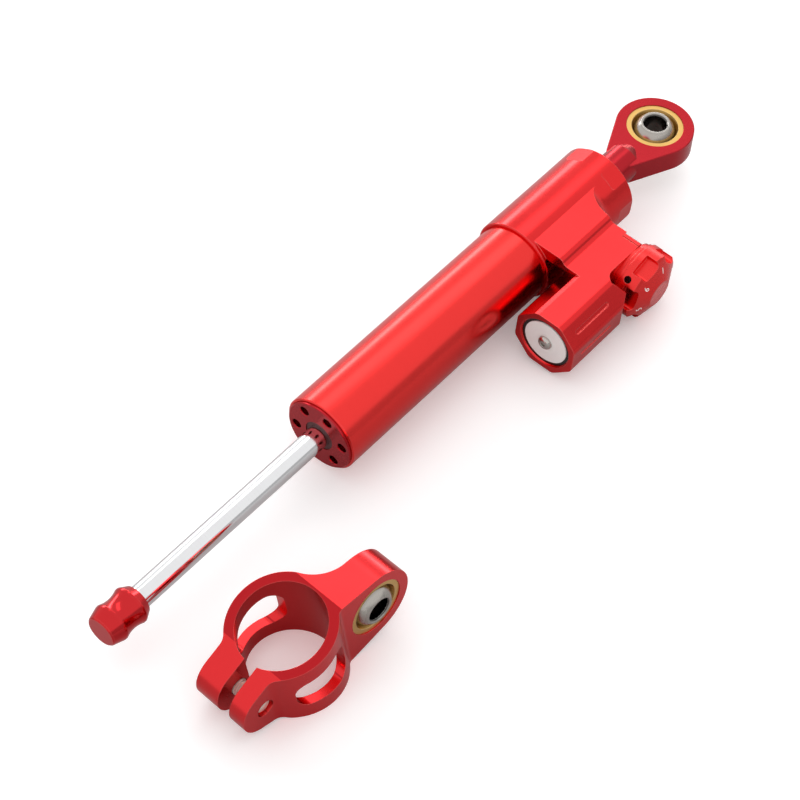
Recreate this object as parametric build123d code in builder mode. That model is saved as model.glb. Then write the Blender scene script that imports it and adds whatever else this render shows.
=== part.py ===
from build123d import *
import math
import os

# Motorcycle steering damper: a through-rod hydraulic damper with a side reservoir,
# a click adjuster, a ball-jointed rod eye, and a separate barrel clamp with its own ball joint.
# Millimetres. The origin is the centre of the rod eye's ball. +X runs from the barrel
# toward the rod eye, +Z is up, and the reservoir lies on the -Y side, rolled down to the table.

# Clearances and overruns
CUT_OVERRUN = 1.0
SEAT_GAP = 0.02
RUNNING_GAP = 0.04
FACE_GAP = 0.1
BALL_GAP = 0.05
PISTON_GAP = 0.3

# Barrel tube
TUBE_RADIUS = 14.0
TUBE_WALL = 2.0
TUBE_RIM_STATION = -181.6
TUBE_INNER_STATION = -64.0
TUBE_RIM_CHAMFER = 0.4
GLAND_SEAT_WALL = 0.9
GLAND_SEAT_DEPTH = 12.0

# Gland that closes the barrel
GLAND_PROUD = 0.9
GLAND_FACE_CHAMFER = 0.25
ROD_PASSAGE_RADIUS = 4.3
PIN_HOLE_COUNT = 6
PIN_HOLE_RADIUS = 1.75
PIN_HOLE_DEPTH = 3.2
PIN_HOLE_CHAMFER = 0.25
PIN_HOLE_WALL = 1.6
PIN_START_ANGLE = -13.0
SEAL_POCKET_RADIUS = 5.6
SEAL_POCKET_DEPTH = 2.9
SEAL_RECESS = 0.3
SEAL_LENGTH = 2.4
LIP_LENGTH = 1.2
BUSH_POCKET_RADIUS = 5.5
BUSH_LENGTH = 7.0
CORD_RADIUS = 0.7
CORD_GROOVE_WIDTH = 1.9
CORD_GROOVE_DEPTH = 1.5
GLAND_GROOVE_DISTANCE = 6.0

# Rod, piston and rod end cap
ROD_RADIUS = 4.0
ROD_CAP_END_STATION = -276.0
ROD_EYE_END_STATION = -20.0
ROD_TIP_CHAMFER = 0.5
PISTON_STATION = -157.0
PISTON_LENGTH = 12.0
BAND_LENGTH = 5.0
BAND_DEPTH = 1.4
CLIP_LENGTH = 1.0
CLIP_RADIUS = 5.3
CLIP_GROOVE_RADIUS = 3.4
CAP_FACE_STATION = -266.6
CAP_FACE_RADIUS = 5.2
CAP_FIRST_CREST_STATION = -269.6
CAP_CREST_RADIUS = 6.7
CAP_CREST_LAND = 0.35
CAP_WAIST_STATION = -273.6
CAP_WAIST_RADIUS = 5.95
CAP_SECOND_CREST_STATION = -277.9
CAP_SHOULDER_STATION = -282.2
CAP_SHOULDER_RADIUS = 5.5
CAP_END_STATION = -282.7
CAP_END_RADIUS = 5.0

# Rod eye and its ball joint
EYE_RADIUS = 14.2
EYE_THICKNESS = 9.0
EYE_ROLL = 3.5
EYE_EDGE_CHAMFER = 0.3
NECK_RADIUS = 6.7
NECK_REAR_STATION = -32.6
NECK_PLATE_STATION = -17.9
NECK_NOSE_STATION = -13.2
NECK_NOSE_RADIUS = 4.2
NECK_REAR_CHAMFER = 0.4
RACE_RADIUS = 10.3
RACE_WIDTH = 8.4
RACE_SEAT_WIDTH = 4.6
RACE_MOUTH_RADIUS = 8.45
BALL_RADIUS = 7.94
BALL_WIDTH = 12.0
BALL_BORE_RADIUS = 4.0
BALL_BORE_CHAMFER = 0.6

# Head: collar round the barrel, bridge and reservoir pod
HEAD_WALL = 1.2
HEAD_FRONT_STATION = -81.4
HEAD_END_STATION = -33.0
HEAD_EDGE_CHAMFER = 0.35
NOTCH_COUNT = 6
NOTCH_DEPTH = 0.45
NOTCH_LENGTH = 7.7
NOTCH_WIDTH = 7.6
NOTCH_CORNER_RADIUS = 1.6
BRIDGE_FRONT_STATION = -79.8
BRIDGE_REAR_STATION = -53.0
BRIDGE_CROWN_DROP = 1.2
BRIDGE_CROWN_START = 5.0
BRIDGE_CROWN_END = 16.5
BRIDGE_SHOULDER_OFFSET = 20.5
BRIDGE_OUTER_OFFSET = 32.3
SCOOP_RADIUS = 7.5
HOLLOW_RADIUS = 28.0
HOLLOW_OFFSET = 14.5
HOLLOW_RISE = 37.4
HOLLOW_DEPTH = 7.0
REAR_GROOVE_STATION = -55.4
REAR_GROOVE_WIDTH = 0.5
REAR_GROOVE_DEPTH = 0.4
REAR_GROOVE_START = 25.5
REAR_CHAMFER = 1.0
POD_FLATS = 24.0
POD_OFFSET = 30.0
POD_SIDES = 8
POD_FRONT_STATION = -102.2
POD_CORNER_RADIUS = 3.0
POD_INNER_BEVEL = 1.0
POD_MOUTH_CHAMFER = 0.5
POD_MOUTH_RADIUS = 9.7
POD_MOUTH_DEPTH = 2.2
POD_BORE_RADIUS = 8.7
POD_BORE_END_STATION = -80.0
RELIEF_FLOOR_STATION = -70.0
RELIEF_BEND_STATION = -73.2
RELIEF_BEND_OFFSET = 33.5
RELIEF_DEEP_STATION = -74.3
RELIEF_DEEP_OFFSET = 35.4
RELIEF_BACK_STATION = -73.0
RELIEF_BACK_OFFSET = 36.9
RELIEF_LIP_STATION = -71.1
RELIEF_LIP_OFFSET = 39.8
RELIEF_OUTER_STATION = -75.0
FACET_GROOVE_WIDTH = 1.5
FACET_GROOVE_DEPTH = 0.45
UPPER_GROOVE_START_STATION = -97.4
UPPER_GROOVE_END_STATION = -79.9
OUTER_GROOVE_START_STATION = -97.6
OUTER_GROOVE_END_STATION = -81.1
OUTER_GROOVE_RISE = 0.7

# Reservoir closure and separating piston
RING_THICKNESS = 0.9
RING_BACK_DISTANCE = 1.9
PLUG_RADIUS = 8.6
PLUG_FACE_DISTANCE = 0.6
PLUG_LENGTH = 6.2
PLUG_GROOVE_DISTANCE = 4.2
GAS_SCREW_HEAD_RADIUS = 2.7
GAS_SCREW_HEAD_HEIGHT = 1.5
GAS_SCREW_SHANK_RADIUS = 1.5
GAS_SCREW_LENGTH = 5.0
GAS_SCREW_SOCKET = 1.5
GAS_SCREW_SOCKET_DEPTH = 0.9
FLOAT_RADIUS = 8.66
FLOAT_STATION = -90.5
FLOAT_LENGTH = 6.0
FLOAT_CUP_RADIUS = 6.0
FLOAT_CUP_DEPTH = 3.5

# Click adjuster
KNOB_STATION = -57.9
COLLAR_RADIUS = 11.8
COLLAR_THICKNESS = 1.2
KNOB_FLANGE_RADIUS = 12.3
KNOB_FLANGE_STEP_DISTANCE = 35.0
KNOB_RIM_RADIUS = 13.0
KNOB_RIM_DISTANCE = 41.3
KNOB_SHOULDER_DISTANCE = 42.1
KNOB_SHOULDER_RADIUS = 12.2
KNOB_APEX_DISTANCE = 45.4
KNOB_APEX_RADIUS = 5.3
KNOB_BORE_END_DISTANCE = 43.0
POCKET_COUNT = 6
POCKET_START_ANGLE = 106.0
POCKET_FLOOR_DISTANCE = 37.4
POCKET_INNER_RADIUS = 10.4
POCKET_REACH = 6.0
POCKET_WIDTH = 8.4
POCKET_CORNER_RADIUS = 1.6
GRUB_HOLE_RADIUS = 1.3
GRUB_HOLE_DISTANCE = 37.3
GRUB_ANGLE = 137.0
GRUB_LENGTH = 5.5
GRUB_SOCKET = 0.75
GRUB_SOCKET_DEPTH = 1.2
SPINDLE_RADIUS = 3.0
SPINDLE_START_DISTANCE = 17.0
SPINDLE_TIP_LENGTH = 3.0
SPINDLE_TIP_RADIUS = 0.8
SPINDLE_BORE_START_DISTANCE = 13.5
SPINDLE_GROOVE_DISTANCE = 26.0
SPINDLE_CORD_RADIUS = 0.5
PLUNGER_RADIUS = 2.0
PLUNGER_OFFSET = 8.2
PLUNGER_LENGTH = 8.0
PLUNGER_NOSE_RADIUS = 1.2

# Barrel clamp, lying flat on its slanted underside
CLAMP_TURN = -4.1
CLAMP_SLANT = 7.4
CLAMP_CENTRE_X = -248.8
CLAMP_CENTRE_Y = -45.1
CLAMP_HALF_HEIGHT = 13.5
CLAMP_BORE_GAP = 0.5
CLAMP_WALL = 3.2
CLAMP_CREASE_DISTANCE = 15.3
CLAMP_EAR_CREASE_DISTANCE = 12.5
CLAMP_EYE_DISTANCE = 27.9
CLAMP_EYE_RADIUS = 13.8
CLAMP_SCREW_DISTANCE = 18.8
CLAMP_EAR_RADIUS = 8.9
EAR_NEAR_OFFSET = 9.9
EAR_FAR_OFFSET = 10.9
EAR_CORNER_BLEND = 4.0
SLOT_NEAR_OFFSET = 3.5
SLOT_FAR_OFFSET = 1.5
ARM_NEAR_OFFSET = 10.9
ARM_FAR_OFFSET = 0.5
ARM_FAR_BLEND = 13.0
ARM_NEAR_BLEND = 2.5
CLAMP_RACE_RECESS = 0.35
CLAMP_LIP_RADIUS = 9.2
WINDOW_EAR_DISTANCE = 5.6
WINDOW_EAR_RISE = 1.6
WINDOW_EAR_RADIUS = 4.6
WINDOW_ARM_DISTANCE = 5.4
WINDOW_ARM_RISE = 3.3
WINDOW_ARM_RADIUS = 4.6
SCREW_RADIUS = 2.9
SCREW_HOLE_RADIUS = 3.1
SCREW_HEAD_RADIUS = 4.9
SCREW_HEAD_LENGTH = 5.4
SCREW_HEAD_SINK = 0.3
SCREW_END_RECESS = 1.0
SCREW_SOCKET = 2.5
SCREW_SOCKET_DEPTH = 3.0
SCREW_TIP_CHAMFER = 0.6

# Derived stations and radii
TUBE_BORE_RADIUS = TUBE_RADIUS - TUBE_WALL
GLAND_SEAT_RADIUS = TUBE_RADIUS - GLAND_SEAT_WALL
PIN_CIRCLE_RADIUS = GLAND_SEAT_RADIUS - PIN_HOLE_WALL - PIN_HOLE_RADIUS
PISTON_RADIUS = TUBE_BORE_RADIUS - PISTON_GAP
BAND_INNER_RADIUS = TUBE_BORE_RADIUS - BAND_DEPTH
HEAD_RADIUS = TUBE_RADIUS + HEAD_WALL
NOTCH_FLAT_DISTANCE = HEAD_RADIUS - NOTCH_DEPTH
BRIDGE_CROWN_HEIGHT = HEAD_RADIUS - BRIDGE_CROWN_DROP
CLAMP_BORE_RADIUS = TUBE_RADIUS + CLAMP_BORE_GAP
CLAMP_RING_RADIUS = CLAMP_BORE_RADIUS + CLAMP_WALL
CLAMP_REACH = CLAMP_EYE_DISTANCE + CLAMP_EYE_RADIUS + CUT_OVERRUN
GLAND_FACE_STATION = TUBE_RIM_STATION - GLAND_PROUD
GLAND_END_STATION = TUBE_RIM_STATION + GLAND_SEAT_DEPTH - SEAT_GAP
PISTON_END_STATION = PISTON_STATION + PISTON_LENGTH
HALF_SHARE = 0.5
DOME_HEIGHT_SHARE = 0.68
DOME_RADIUS_SHARE = 0.84
SCOOP_MIDDLE_SHARE = 1 - math.sqrt(HALF_SHARE)
SCOOP_END_STATION = BRIDGE_REAR_STATION + SCOOP_RADIUS
FALL_OFFSET = HALF_SHARE * (BRIDGE_CROWN_END + BRIDGE_SHOULDER_OFFSET)
POD_EDGE = POD_FLATS * math.tan(math.pi / POD_SIDES)
POD_CORNER_OFFSET = POD_OFFSET + HALF_SHARE * POD_EDGE
POD_HALF_FLATS = HALF_SHARE * POD_FLATS
FALL_HEIGHT = HALF_SHARE * (BRIDGE_CROWN_HEIGHT + POD_HALF_FLATS)

# The collar and the rounded lower corner of the reservoir lie level, which rolls the damper about X.
# The knob's rim hangs a little lower and touches the table, on which the clamp lies too.
ROUND_OFFSET = POD_CORNER_OFFSET - POD_CORNER_RADIUS * math.tan(math.pi / POD_SIDES)
ROUND_DROP = POD_HALF_FLATS - POD_CORNER_RADIUS
BODY_ROLL = math.asin((HEAD_RADIUS - POD_CORNER_RADIUS) / math.hypot(ROUND_OFFSET, ROUND_DROP))
BODY_ROLL = BODY_ROLL - math.atan2(ROUND_DROP, ROUND_OFFSET)
TABLE_DEPTH = KNOB_RIM_DISTANCE * math.sin(BODY_ROLL) + KNOB_RIM_RADIUS * math.cos(BODY_ROLL)
INWARD = Vector(0, math.cos(BODY_ROLL), math.sin(BODY_ROLL))
OUTWARD = Vector(0, -math.cos(BODY_ROLL), -math.sin(BODY_ROLL))
UPWARD = Vector(0, -math.sin(BODY_ROLL), math.cos(BODY_ROLL))
ALONG = Vector(1, 0, 0)

# Working planes and axes
LENGTHWISE = Plane(origin=(0, 0, 0), x_dir=ALONG, z_dir=UPWARD)
BARREL_AXIS = Axis((0, 0, 0), (1, 0, 0))
POD_CENTRE = OUTWARD * POD_OFFSET
POD_LENGTHWISE = Plane(origin=POD_CENTRE, x_dir=ALONG, z_dir=UPWARD)
POD_AXIS = Axis(POD_CENTRE, ALONG)
KNOB_CENTRE = ALONG * KNOB_STATION
KNOB_LENGTHWISE = Plane(origin=KNOB_CENTRE, x_dir=OUTWARD, z_dir=UPWARD)
KNOB_AXIS = Axis(KNOB_CENTRE, OUTWARD)
EYE_TILT = math.radians(EYE_ROLL)
EYE_NORMAL = Vector(0, -math.sin(EYE_TILT), math.cos(EYE_TILT))
EYE_PLANE = Plane(origin=(0, 0, 0), x_dir=ALONG, z_dir=EYE_NORMAL)
TURN = math.radians(CLAMP_TURN)
SLANT = math.radians(CLAMP_SLANT)
CLAMP_ALONG = Vector(
    math.cos(TURN) * math.cos(SLANT),
    math.sin(TURN) * math.cos(SLANT),
    math.sin(SLANT),
)
CLAMP_ACROSS = Vector(-math.sin(TURN), math.cos(TURN), 0)
CLAMP_UP = CLAMP_ALONG.cross(CLAMP_ACROSS)
CLAMP_CENTRE_Z = CLAMP_HALF_HEIGHT * math.cos(SLANT) - TABLE_DEPTH
CLAMP_CENTRE = Vector(CLAMP_CENTRE_X, CLAMP_CENTRE_Y, CLAMP_CENTRE_Z)
CLAMP_TOP_VIEW = Plane(origin=CLAMP_CENTRE, x_dir=CLAMP_ALONG, z_dir=CLAMP_UP)
CLAMP_SIDE_VIEW = Plane(origin=CLAMP_CENTRE, x_dir=CLAMP_ALONG, z_dir=CLAMP_ACROSS * -1)
CLAMP_RACE_OFFSET = ARM_NEAR_OFFSET - CLAMP_RACE_RECESS - HALF_SHARE * RACE_WIDTH


def across(station):
    """A plane square to the barrel, its local x pointing inward and its local y up."""
    return Plane(origin=ALONG * station, x_dir=INWARD, z_dir=ALONG)


def facing_knob(distance):
    """A plane square to the knob's axis at a distance from the barrel's axis."""
    return Plane(origin=KNOB_CENTRE + OUTWARD * distance, x_dir=ALONG, z_dir=OUTWARD)


def outline(plane, *corners):
    """A closed face with straight sides through the given corners."""
    with BuildSketch(plane) as drawn:
        with BuildLine():
            Polyline(*corners, close=True)
        make_face()
    return drawn.sketch


def ring_outline(plane, start, end, inner, outer):
    """The half section of a plain ring."""
    return outline(plane, (start, inner), (end, inner), (end, outer), (start, outer))


def cord_outline(plane, station, radius, cord_radius):
    """The half section of a sealing cord lying in a ring."""
    with BuildSketch(plane) as drawn:
        with Locations((station, radius)):
            Circle(cord_radius)
    return drawn.sketch


def disc(plane, radius):
    """A round face in the middle of a plane."""
    with BuildSketch(plane) as drawn:
        Circle(radius)
    return drawn.sketch


def disc_at(plane, place, radius):
    """A round face at a place on a plane."""
    with BuildSketch(plane) as drawn:
        with Locations(place):
            Circle(radius)
    return drawn.sketch


def hexagon(plane, radius):
    """A hexagonal face for a key socket, given by its inner radius."""
    with BuildSketch(plane) as drawn:
        RegularPolygon(radius, 6, major_radius=False)
    return drawn.sketch


def save(piece, label):
    """Name a finished piece and write it out."""
    piece.part.label = label
    export_step(piece.part, "parts/" + label + ".step")


os.makedirs("parts", exist_ok=True)

# Barrel tube with its gland seat
with BuildPart() as barrel_tube:
    SEAT_END_STATION = TUBE_RIM_STATION + GLAND_SEAT_DEPTH
    revolve(
        outline(
            LENGTHWISE,
            (TUBE_RIM_STATION + TUBE_RIM_CHAMFER, TUBE_RADIUS),
            (TUBE_INNER_STATION, TUBE_RADIUS),
            (TUBE_INNER_STATION, TUBE_BORE_RADIUS),
            (SEAT_END_STATION, TUBE_BORE_RADIUS),
            (SEAT_END_STATION, GLAND_SEAT_RADIUS),
            (TUBE_RIM_STATION, GLAND_SEAT_RADIUS),
            (TUBE_RIM_STATION, TUBE_RADIUS - TUBE_RIM_CHAMFER),
        ),
        axis=BARREL_AXIS,
    )
save(barrel_tube, "barrel_tube")

# Gland with pin-spanner holes, rod seal pocket, bush pocket and cord groove
GLAND_RADIUS = GLAND_SEAT_RADIUS - SEAT_GAP
GLAND_GROOVE_STATION = GLAND_FACE_STATION + GLAND_GROOVE_DISTANCE
GLAND_BUSH_STATION = GLAND_FACE_STATION + SEAL_POCKET_DEPTH + LIP_LENGTH
with BuildPart() as gland_cap:
    revolve(
        outline(
            LENGTHWISE,
            (GLAND_FACE_STATION, ROD_PASSAGE_RADIUS),
            (GLAND_END_STATION, ROD_PASSAGE_RADIUS),
            (GLAND_END_STATION, GLAND_RADIUS),
            (GLAND_FACE_STATION + GLAND_FACE_CHAMFER, GLAND_RADIUS),
            (GLAND_FACE_STATION, GLAND_RADIUS - GLAND_FACE_CHAMFER),
        ),
        axis=BARREL_AXIS,
    )
    extrude(
        disc(across(GLAND_FACE_STATION), SEAL_POCKET_RADIUS),
        amount=SEAL_POCKET_DEPTH,
        mode=Mode.SUBTRACT,
    )
    extrude(
        disc(across(GLAND_BUSH_STATION), BUSH_POCKET_RADIUS),
        amount=GLAND_SEAT_DEPTH,
        mode=Mode.SUBTRACT,
    )
    revolve(
        ring_outline(
            LENGTHWISE,
            GLAND_GROOVE_STATION,
            GLAND_GROOVE_STATION + CORD_GROOVE_WIDTH,
            GLAND_SEAT_RADIUS - CORD_GROOVE_DEPTH,
            GLAND_SEAT_RADIUS + CUT_OVERRUN,
        ),
        axis=BARREL_AXIS,
        mode=Mode.SUBTRACT,
    )
    with BuildSketch(across(GLAND_FACE_STATION)):
        with PolarLocations(PIN_CIRCLE_RADIUS, PIN_HOLE_COUNT, start_angle=PIN_START_ANGLE):
            Circle(PIN_HOLE_RADIUS)
    extrude(amount=PIN_HOLE_DEPTH, mode=Mode.SUBTRACT)
    with BuildSketch(across(GLAND_FACE_STATION)):
        with PolarLocations(PIN_CIRCLE_RADIUS, PIN_HOLE_COUNT, start_angle=PIN_START_ANGLE):
            Circle(PIN_HOLE_RADIUS + PIN_HOLE_CHAMFER)
    extrude(amount=PIN_HOLE_CHAMFER, taper=45, mode=Mode.SUBTRACT)
save(gland_cap, "gland_cap")

# Rod seals and bushes at both ends of the barrel
ROD_SEAL_INNER = ROD_RADIUS + RUNNING_GAP
ROD_SEAL_OUTER = SEAL_POCKET_RADIUS - SEAT_GAP
BUSH_OUTER = BUSH_POCKET_RADIUS - SEAT_GAP
GLAND_SEAL_STATION = GLAND_FACE_STATION + SEAL_RECESS
with BuildPart() as gland_seal:
    revolve(
        ring_outline(
            LENGTHWISE,
            GLAND_SEAL_STATION,
            GLAND_SEAL_STATION + SEAL_LENGTH,
            ROD_SEAL_INNER,
            ROD_SEAL_OUTER,
        ),
        axis=BARREL_AXIS,
    )
save(gland_seal, "gland_seal")

with BuildPart() as gland_bush:
    revolve(
        ring_outline(
            LENGTHWISE,
            GLAND_BUSH_STATION + SEAT_GAP,
            GLAND_BUSH_STATION + BUSH_LENGTH,
            ROD_SEAL_INNER,
            BUSH_OUTER,
        ),
        axis=BARREL_AXIS,
    )
save(gland_bush, "gland_bush")

with BuildPart() as gland_o_ring:
    revolve(
        cord_outline(
            LENGTHWISE,
            GLAND_GROOVE_STATION + HALF_SHARE * CORD_GROOVE_WIDTH,
            GLAND_SEAT_RADIUS - SEAT_GAP - CORD_RADIUS,
            CORD_RADIUS,
        ),
        axis=BARREL_AXIS,
    )
save(gland_o_ring, "gland_o_ring")

HEAD_SEAL_POCKET_STATION = HEAD_END_STATION - SEAL_POCKET_DEPTH
HEAD_BUSH_STATION = HEAD_SEAL_POCKET_STATION - LIP_LENGTH
with BuildPart() as head_seal:
    revolve(
        ring_outline(
            LENGTHWISE,
            HEAD_END_STATION - SEAL_RECESS - SEAL_LENGTH,
            HEAD_END_STATION - SEAL_RECESS,
            ROD_SEAL_INNER,
            ROD_SEAL_OUTER,
        ),
        axis=BARREL_AXIS,
    )
save(head_seal, "head_seal")

with BuildPart() as head_bush:
    revolve(
        ring_outline(
            LENGTHWISE,
            HEAD_BUSH_STATION - BUSH_LENGTH,
            HEAD_BUSH_STATION - SEAT_GAP,
            ROD_SEAL_INNER,
            BUSH_OUTER,
        ),
        axis=BARREL_AXIS,
    )
save(head_bush, "head_bush")


def bridge_section():
    """The bridge's section across the barrel: a crown that falls to the pod's top."""
    with BuildSketch(across(BRIDGE_FRONT_STATION)) as drawn:
        with BuildLine():
            crown = Line(
                (-BRIDGE_CROWN_START, BRIDGE_CROWN_HEIGHT),
                (-BRIDGE_CROWN_END, BRIDGE_CROWN_HEIGHT),
            )
            fall = TangentArc(crown @ 1, (-FALL_OFFSET, FALL_HEIGHT), tangent=(-1, 0))
            settle = TangentArc(fall @ 1, (-BRIDGE_SHOULDER_OFFSET, POD_HALF_FLATS), tangent=fall % 1)
            Polyline(
                settle @ 1,
                (-BRIDGE_OUTER_OFFSET, POD_HALF_FLATS),
                (-BRIDGE_OUTER_OFFSET, -POD_HALF_FLATS),
                (-BRIDGE_CROWN_START, -POD_HALF_FLATS),
                (-BRIDGE_CROWN_START, BRIDGE_CROWN_HEIGHT),
            )
        make_face()
    return drawn.sketch


def hollow_section():
    """The part of the bridge's section that lies below the arc of its front face."""
    width = BRIDGE_OUTER_OFFSET + CUT_OVERRUN
    height = 2 * (BRIDGE_CROWN_HEIGHT + CUT_OVERRUN)
    with BuildSketch(across(BRIDGE_FRONT_STATION)) as drawn:
        with Locations((-HALF_SHARE * width, 0)):
            Rectangle(width, height)
        with Locations((-HOLLOW_OFFSET, HOLLOW_RISE)):
            Circle(HOLLOW_RADIUS, mode=Mode.SUBTRACT)
    return drawn.sketch


def rear_bevel():
    """The bevel along the bridge's upper rear edge, seen along the edge."""
    start = Plane(origin=OUTWARD * REAR_GROOVE_START, x_dir=ALONG, z_dir=OUTWARD)
    return outline(
        start,
        (BRIDGE_REAR_STATION - REAR_CHAMFER, POD_HALF_FLATS),
        (BRIDGE_REAR_STATION, POD_HALF_FLATS - REAR_CHAMFER),
        (BRIDGE_REAR_STATION + CUT_OVERRUN, POD_HALF_FLATS - REAR_CHAMFER),
        (BRIDGE_REAR_STATION + CUT_OVERRUN, POD_HALF_FLATS + CUT_OVERRUN),
        (BRIDGE_REAR_STATION - REAR_CHAMFER, POD_HALF_FLATS + CUT_OVERRUN),
    )


def rear_groove():
    """The fine groove beside that bevel, seen along the edge."""
    start = Plane(origin=OUTWARD * REAR_GROOVE_START, x_dir=ALONG, z_dir=OUTWARD)
    with BuildSketch(start) as drawn:
        with Locations((REAR_GROOVE_STATION, POD_HALF_FLATS)):
            Rectangle(REAR_GROOVE_WIDTH, 2 * REAR_GROOVE_DEPTH)
    return drawn.sketch


def scoop_outline():
    """Everything behind the bridge and outside the concave sweep that joins it to the collar."""
    reach = POD_CORNER_OFFSET + POD_FLATS
    with BuildSketch(LENGTHWISE) as drawn:
        with BuildLine():
            ThreePointArc(
                (BRIDGE_REAR_STATION, HEAD_RADIUS + SCOOP_RADIUS),
                (
                    BRIDGE_REAR_STATION + SCOOP_MIDDLE_SHARE * SCOOP_RADIUS,
                    HEAD_RADIUS + SCOOP_MIDDLE_SHARE * SCOOP_RADIUS,
                ),
                (SCOOP_END_STATION, HEAD_RADIUS),
            )
            Polyline(
                (SCOOP_END_STATION, HEAD_RADIUS),
                (SCOOP_END_STATION + CUT_OVERRUN, HEAD_RADIUS),
                (SCOOP_END_STATION + CUT_OVERRUN, reach),
                (BRIDGE_REAR_STATION, reach),
                (BRIDGE_REAR_STATION, HEAD_RADIUS + SCOOP_RADIUS),
            )
        make_face()
    return drawn.sketch


def pod_section():
    """The reservoir's eight-sided section, with the bevel along its inner upper corner."""
    with BuildSketch(across(POD_FRONT_STATION)) as drawn:
        with Locations((-POD_OFFSET, 0)):
            RegularPolygon(
                POD_HALF_FLATS, POD_SIDES, major_radius=False, rotation=HALF_SHARE * 360 / POD_SIDES
            )
        top_corners = drawn.vertices().sort_by(Axis.Y)[-2:]
        bevel_corner = top_corners.sort_by(Axis.X)[-1:]
        other_corners = [corner for corner in drawn.vertices() if corner not in bevel_corner]
        fillet(other_corners, POD_CORNER_RADIUS)
        top_corners = drawn.vertices().sort_by(Axis.Y)[-3:]
        chamfer(top_corners.sort_by(Axis.X)[-1:], POD_INNER_BEVEL)
    return drawn.sketch


def relief_outline():
    """The milled relief beside the knob, seen from above: a hollow, a lip and a bevelled end."""
    outer = POD_OFFSET + POD_FLATS
    with BuildSketch(LENGTHWISE) as drawn:
        with BuildLine():
            ThreePointArc(
                (RELIEF_FLOOR_STATION, -BRIDGE_OUTER_OFFSET),
                (RELIEF_BEND_STATION, -RELIEF_BEND_OFFSET),
                (RELIEF_DEEP_STATION, -RELIEF_DEEP_OFFSET),
            )
            Polyline(
                (RELIEF_DEEP_STATION, -RELIEF_DEEP_OFFSET),
                (RELIEF_BACK_STATION, -RELIEF_BACK_OFFSET),
                (RELIEF_LIP_STATION, -RELIEF_LIP_OFFSET),
                (RELIEF_OUTER_STATION, -POD_OFFSET - POD_HALF_FLATS),
                (RELIEF_OUTER_STATION, -outer),
                (BRIDGE_REAR_STATION + CUT_OVERRUN, -outer),
                (BRIDGE_REAR_STATION + CUT_OVERRUN, -BRIDGE_OUTER_OFFSET),
                (RELIEF_FLOOR_STATION, -BRIDGE_OUTER_OFFSET),
            )
        make_face()
    return drawn.sketch


def facet_slot(elevation, start, end, rise):
    """A shallow slot outline on one facet of the pod, the facet given by its elevation angle."""
    lift = math.radians(elevation)
    normal = OUTWARD * math.cos(lift) + UPWARD * math.sin(lift)
    centre = POD_CENTRE + ALONG * (HALF_SHARE * (start + end)) + normal * POD_HALF_FLATS
    with BuildSketch(Plane(origin=centre, x_dir=ALONG, z_dir=normal)) as drawn:
        with Locations((0, rise)):
            SlotOverall(end - start, FACET_GROOVE_WIDTH)
    return drawn.sketch


def notch_outline(index):
    """One flat at the head's far end, given by its number round the collar."""
    angle = 2 * math.pi * index / NOTCH_COUNT
    normal = OUTWARD * math.cos(angle) + UPWARD * math.sin(angle)
    centre = ALONG * HEAD_END_STATION + normal * NOTCH_FLAT_DISTANCE
    with BuildSketch(Plane(origin=centre, x_dir=ALONG, z_dir=normal)) as drawn:
        RectangleRounded(2 * NOTCH_LENGTH, NOTCH_WIDTH, NOTCH_CORNER_RADIUS)
    return drawn.sketch


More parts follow.
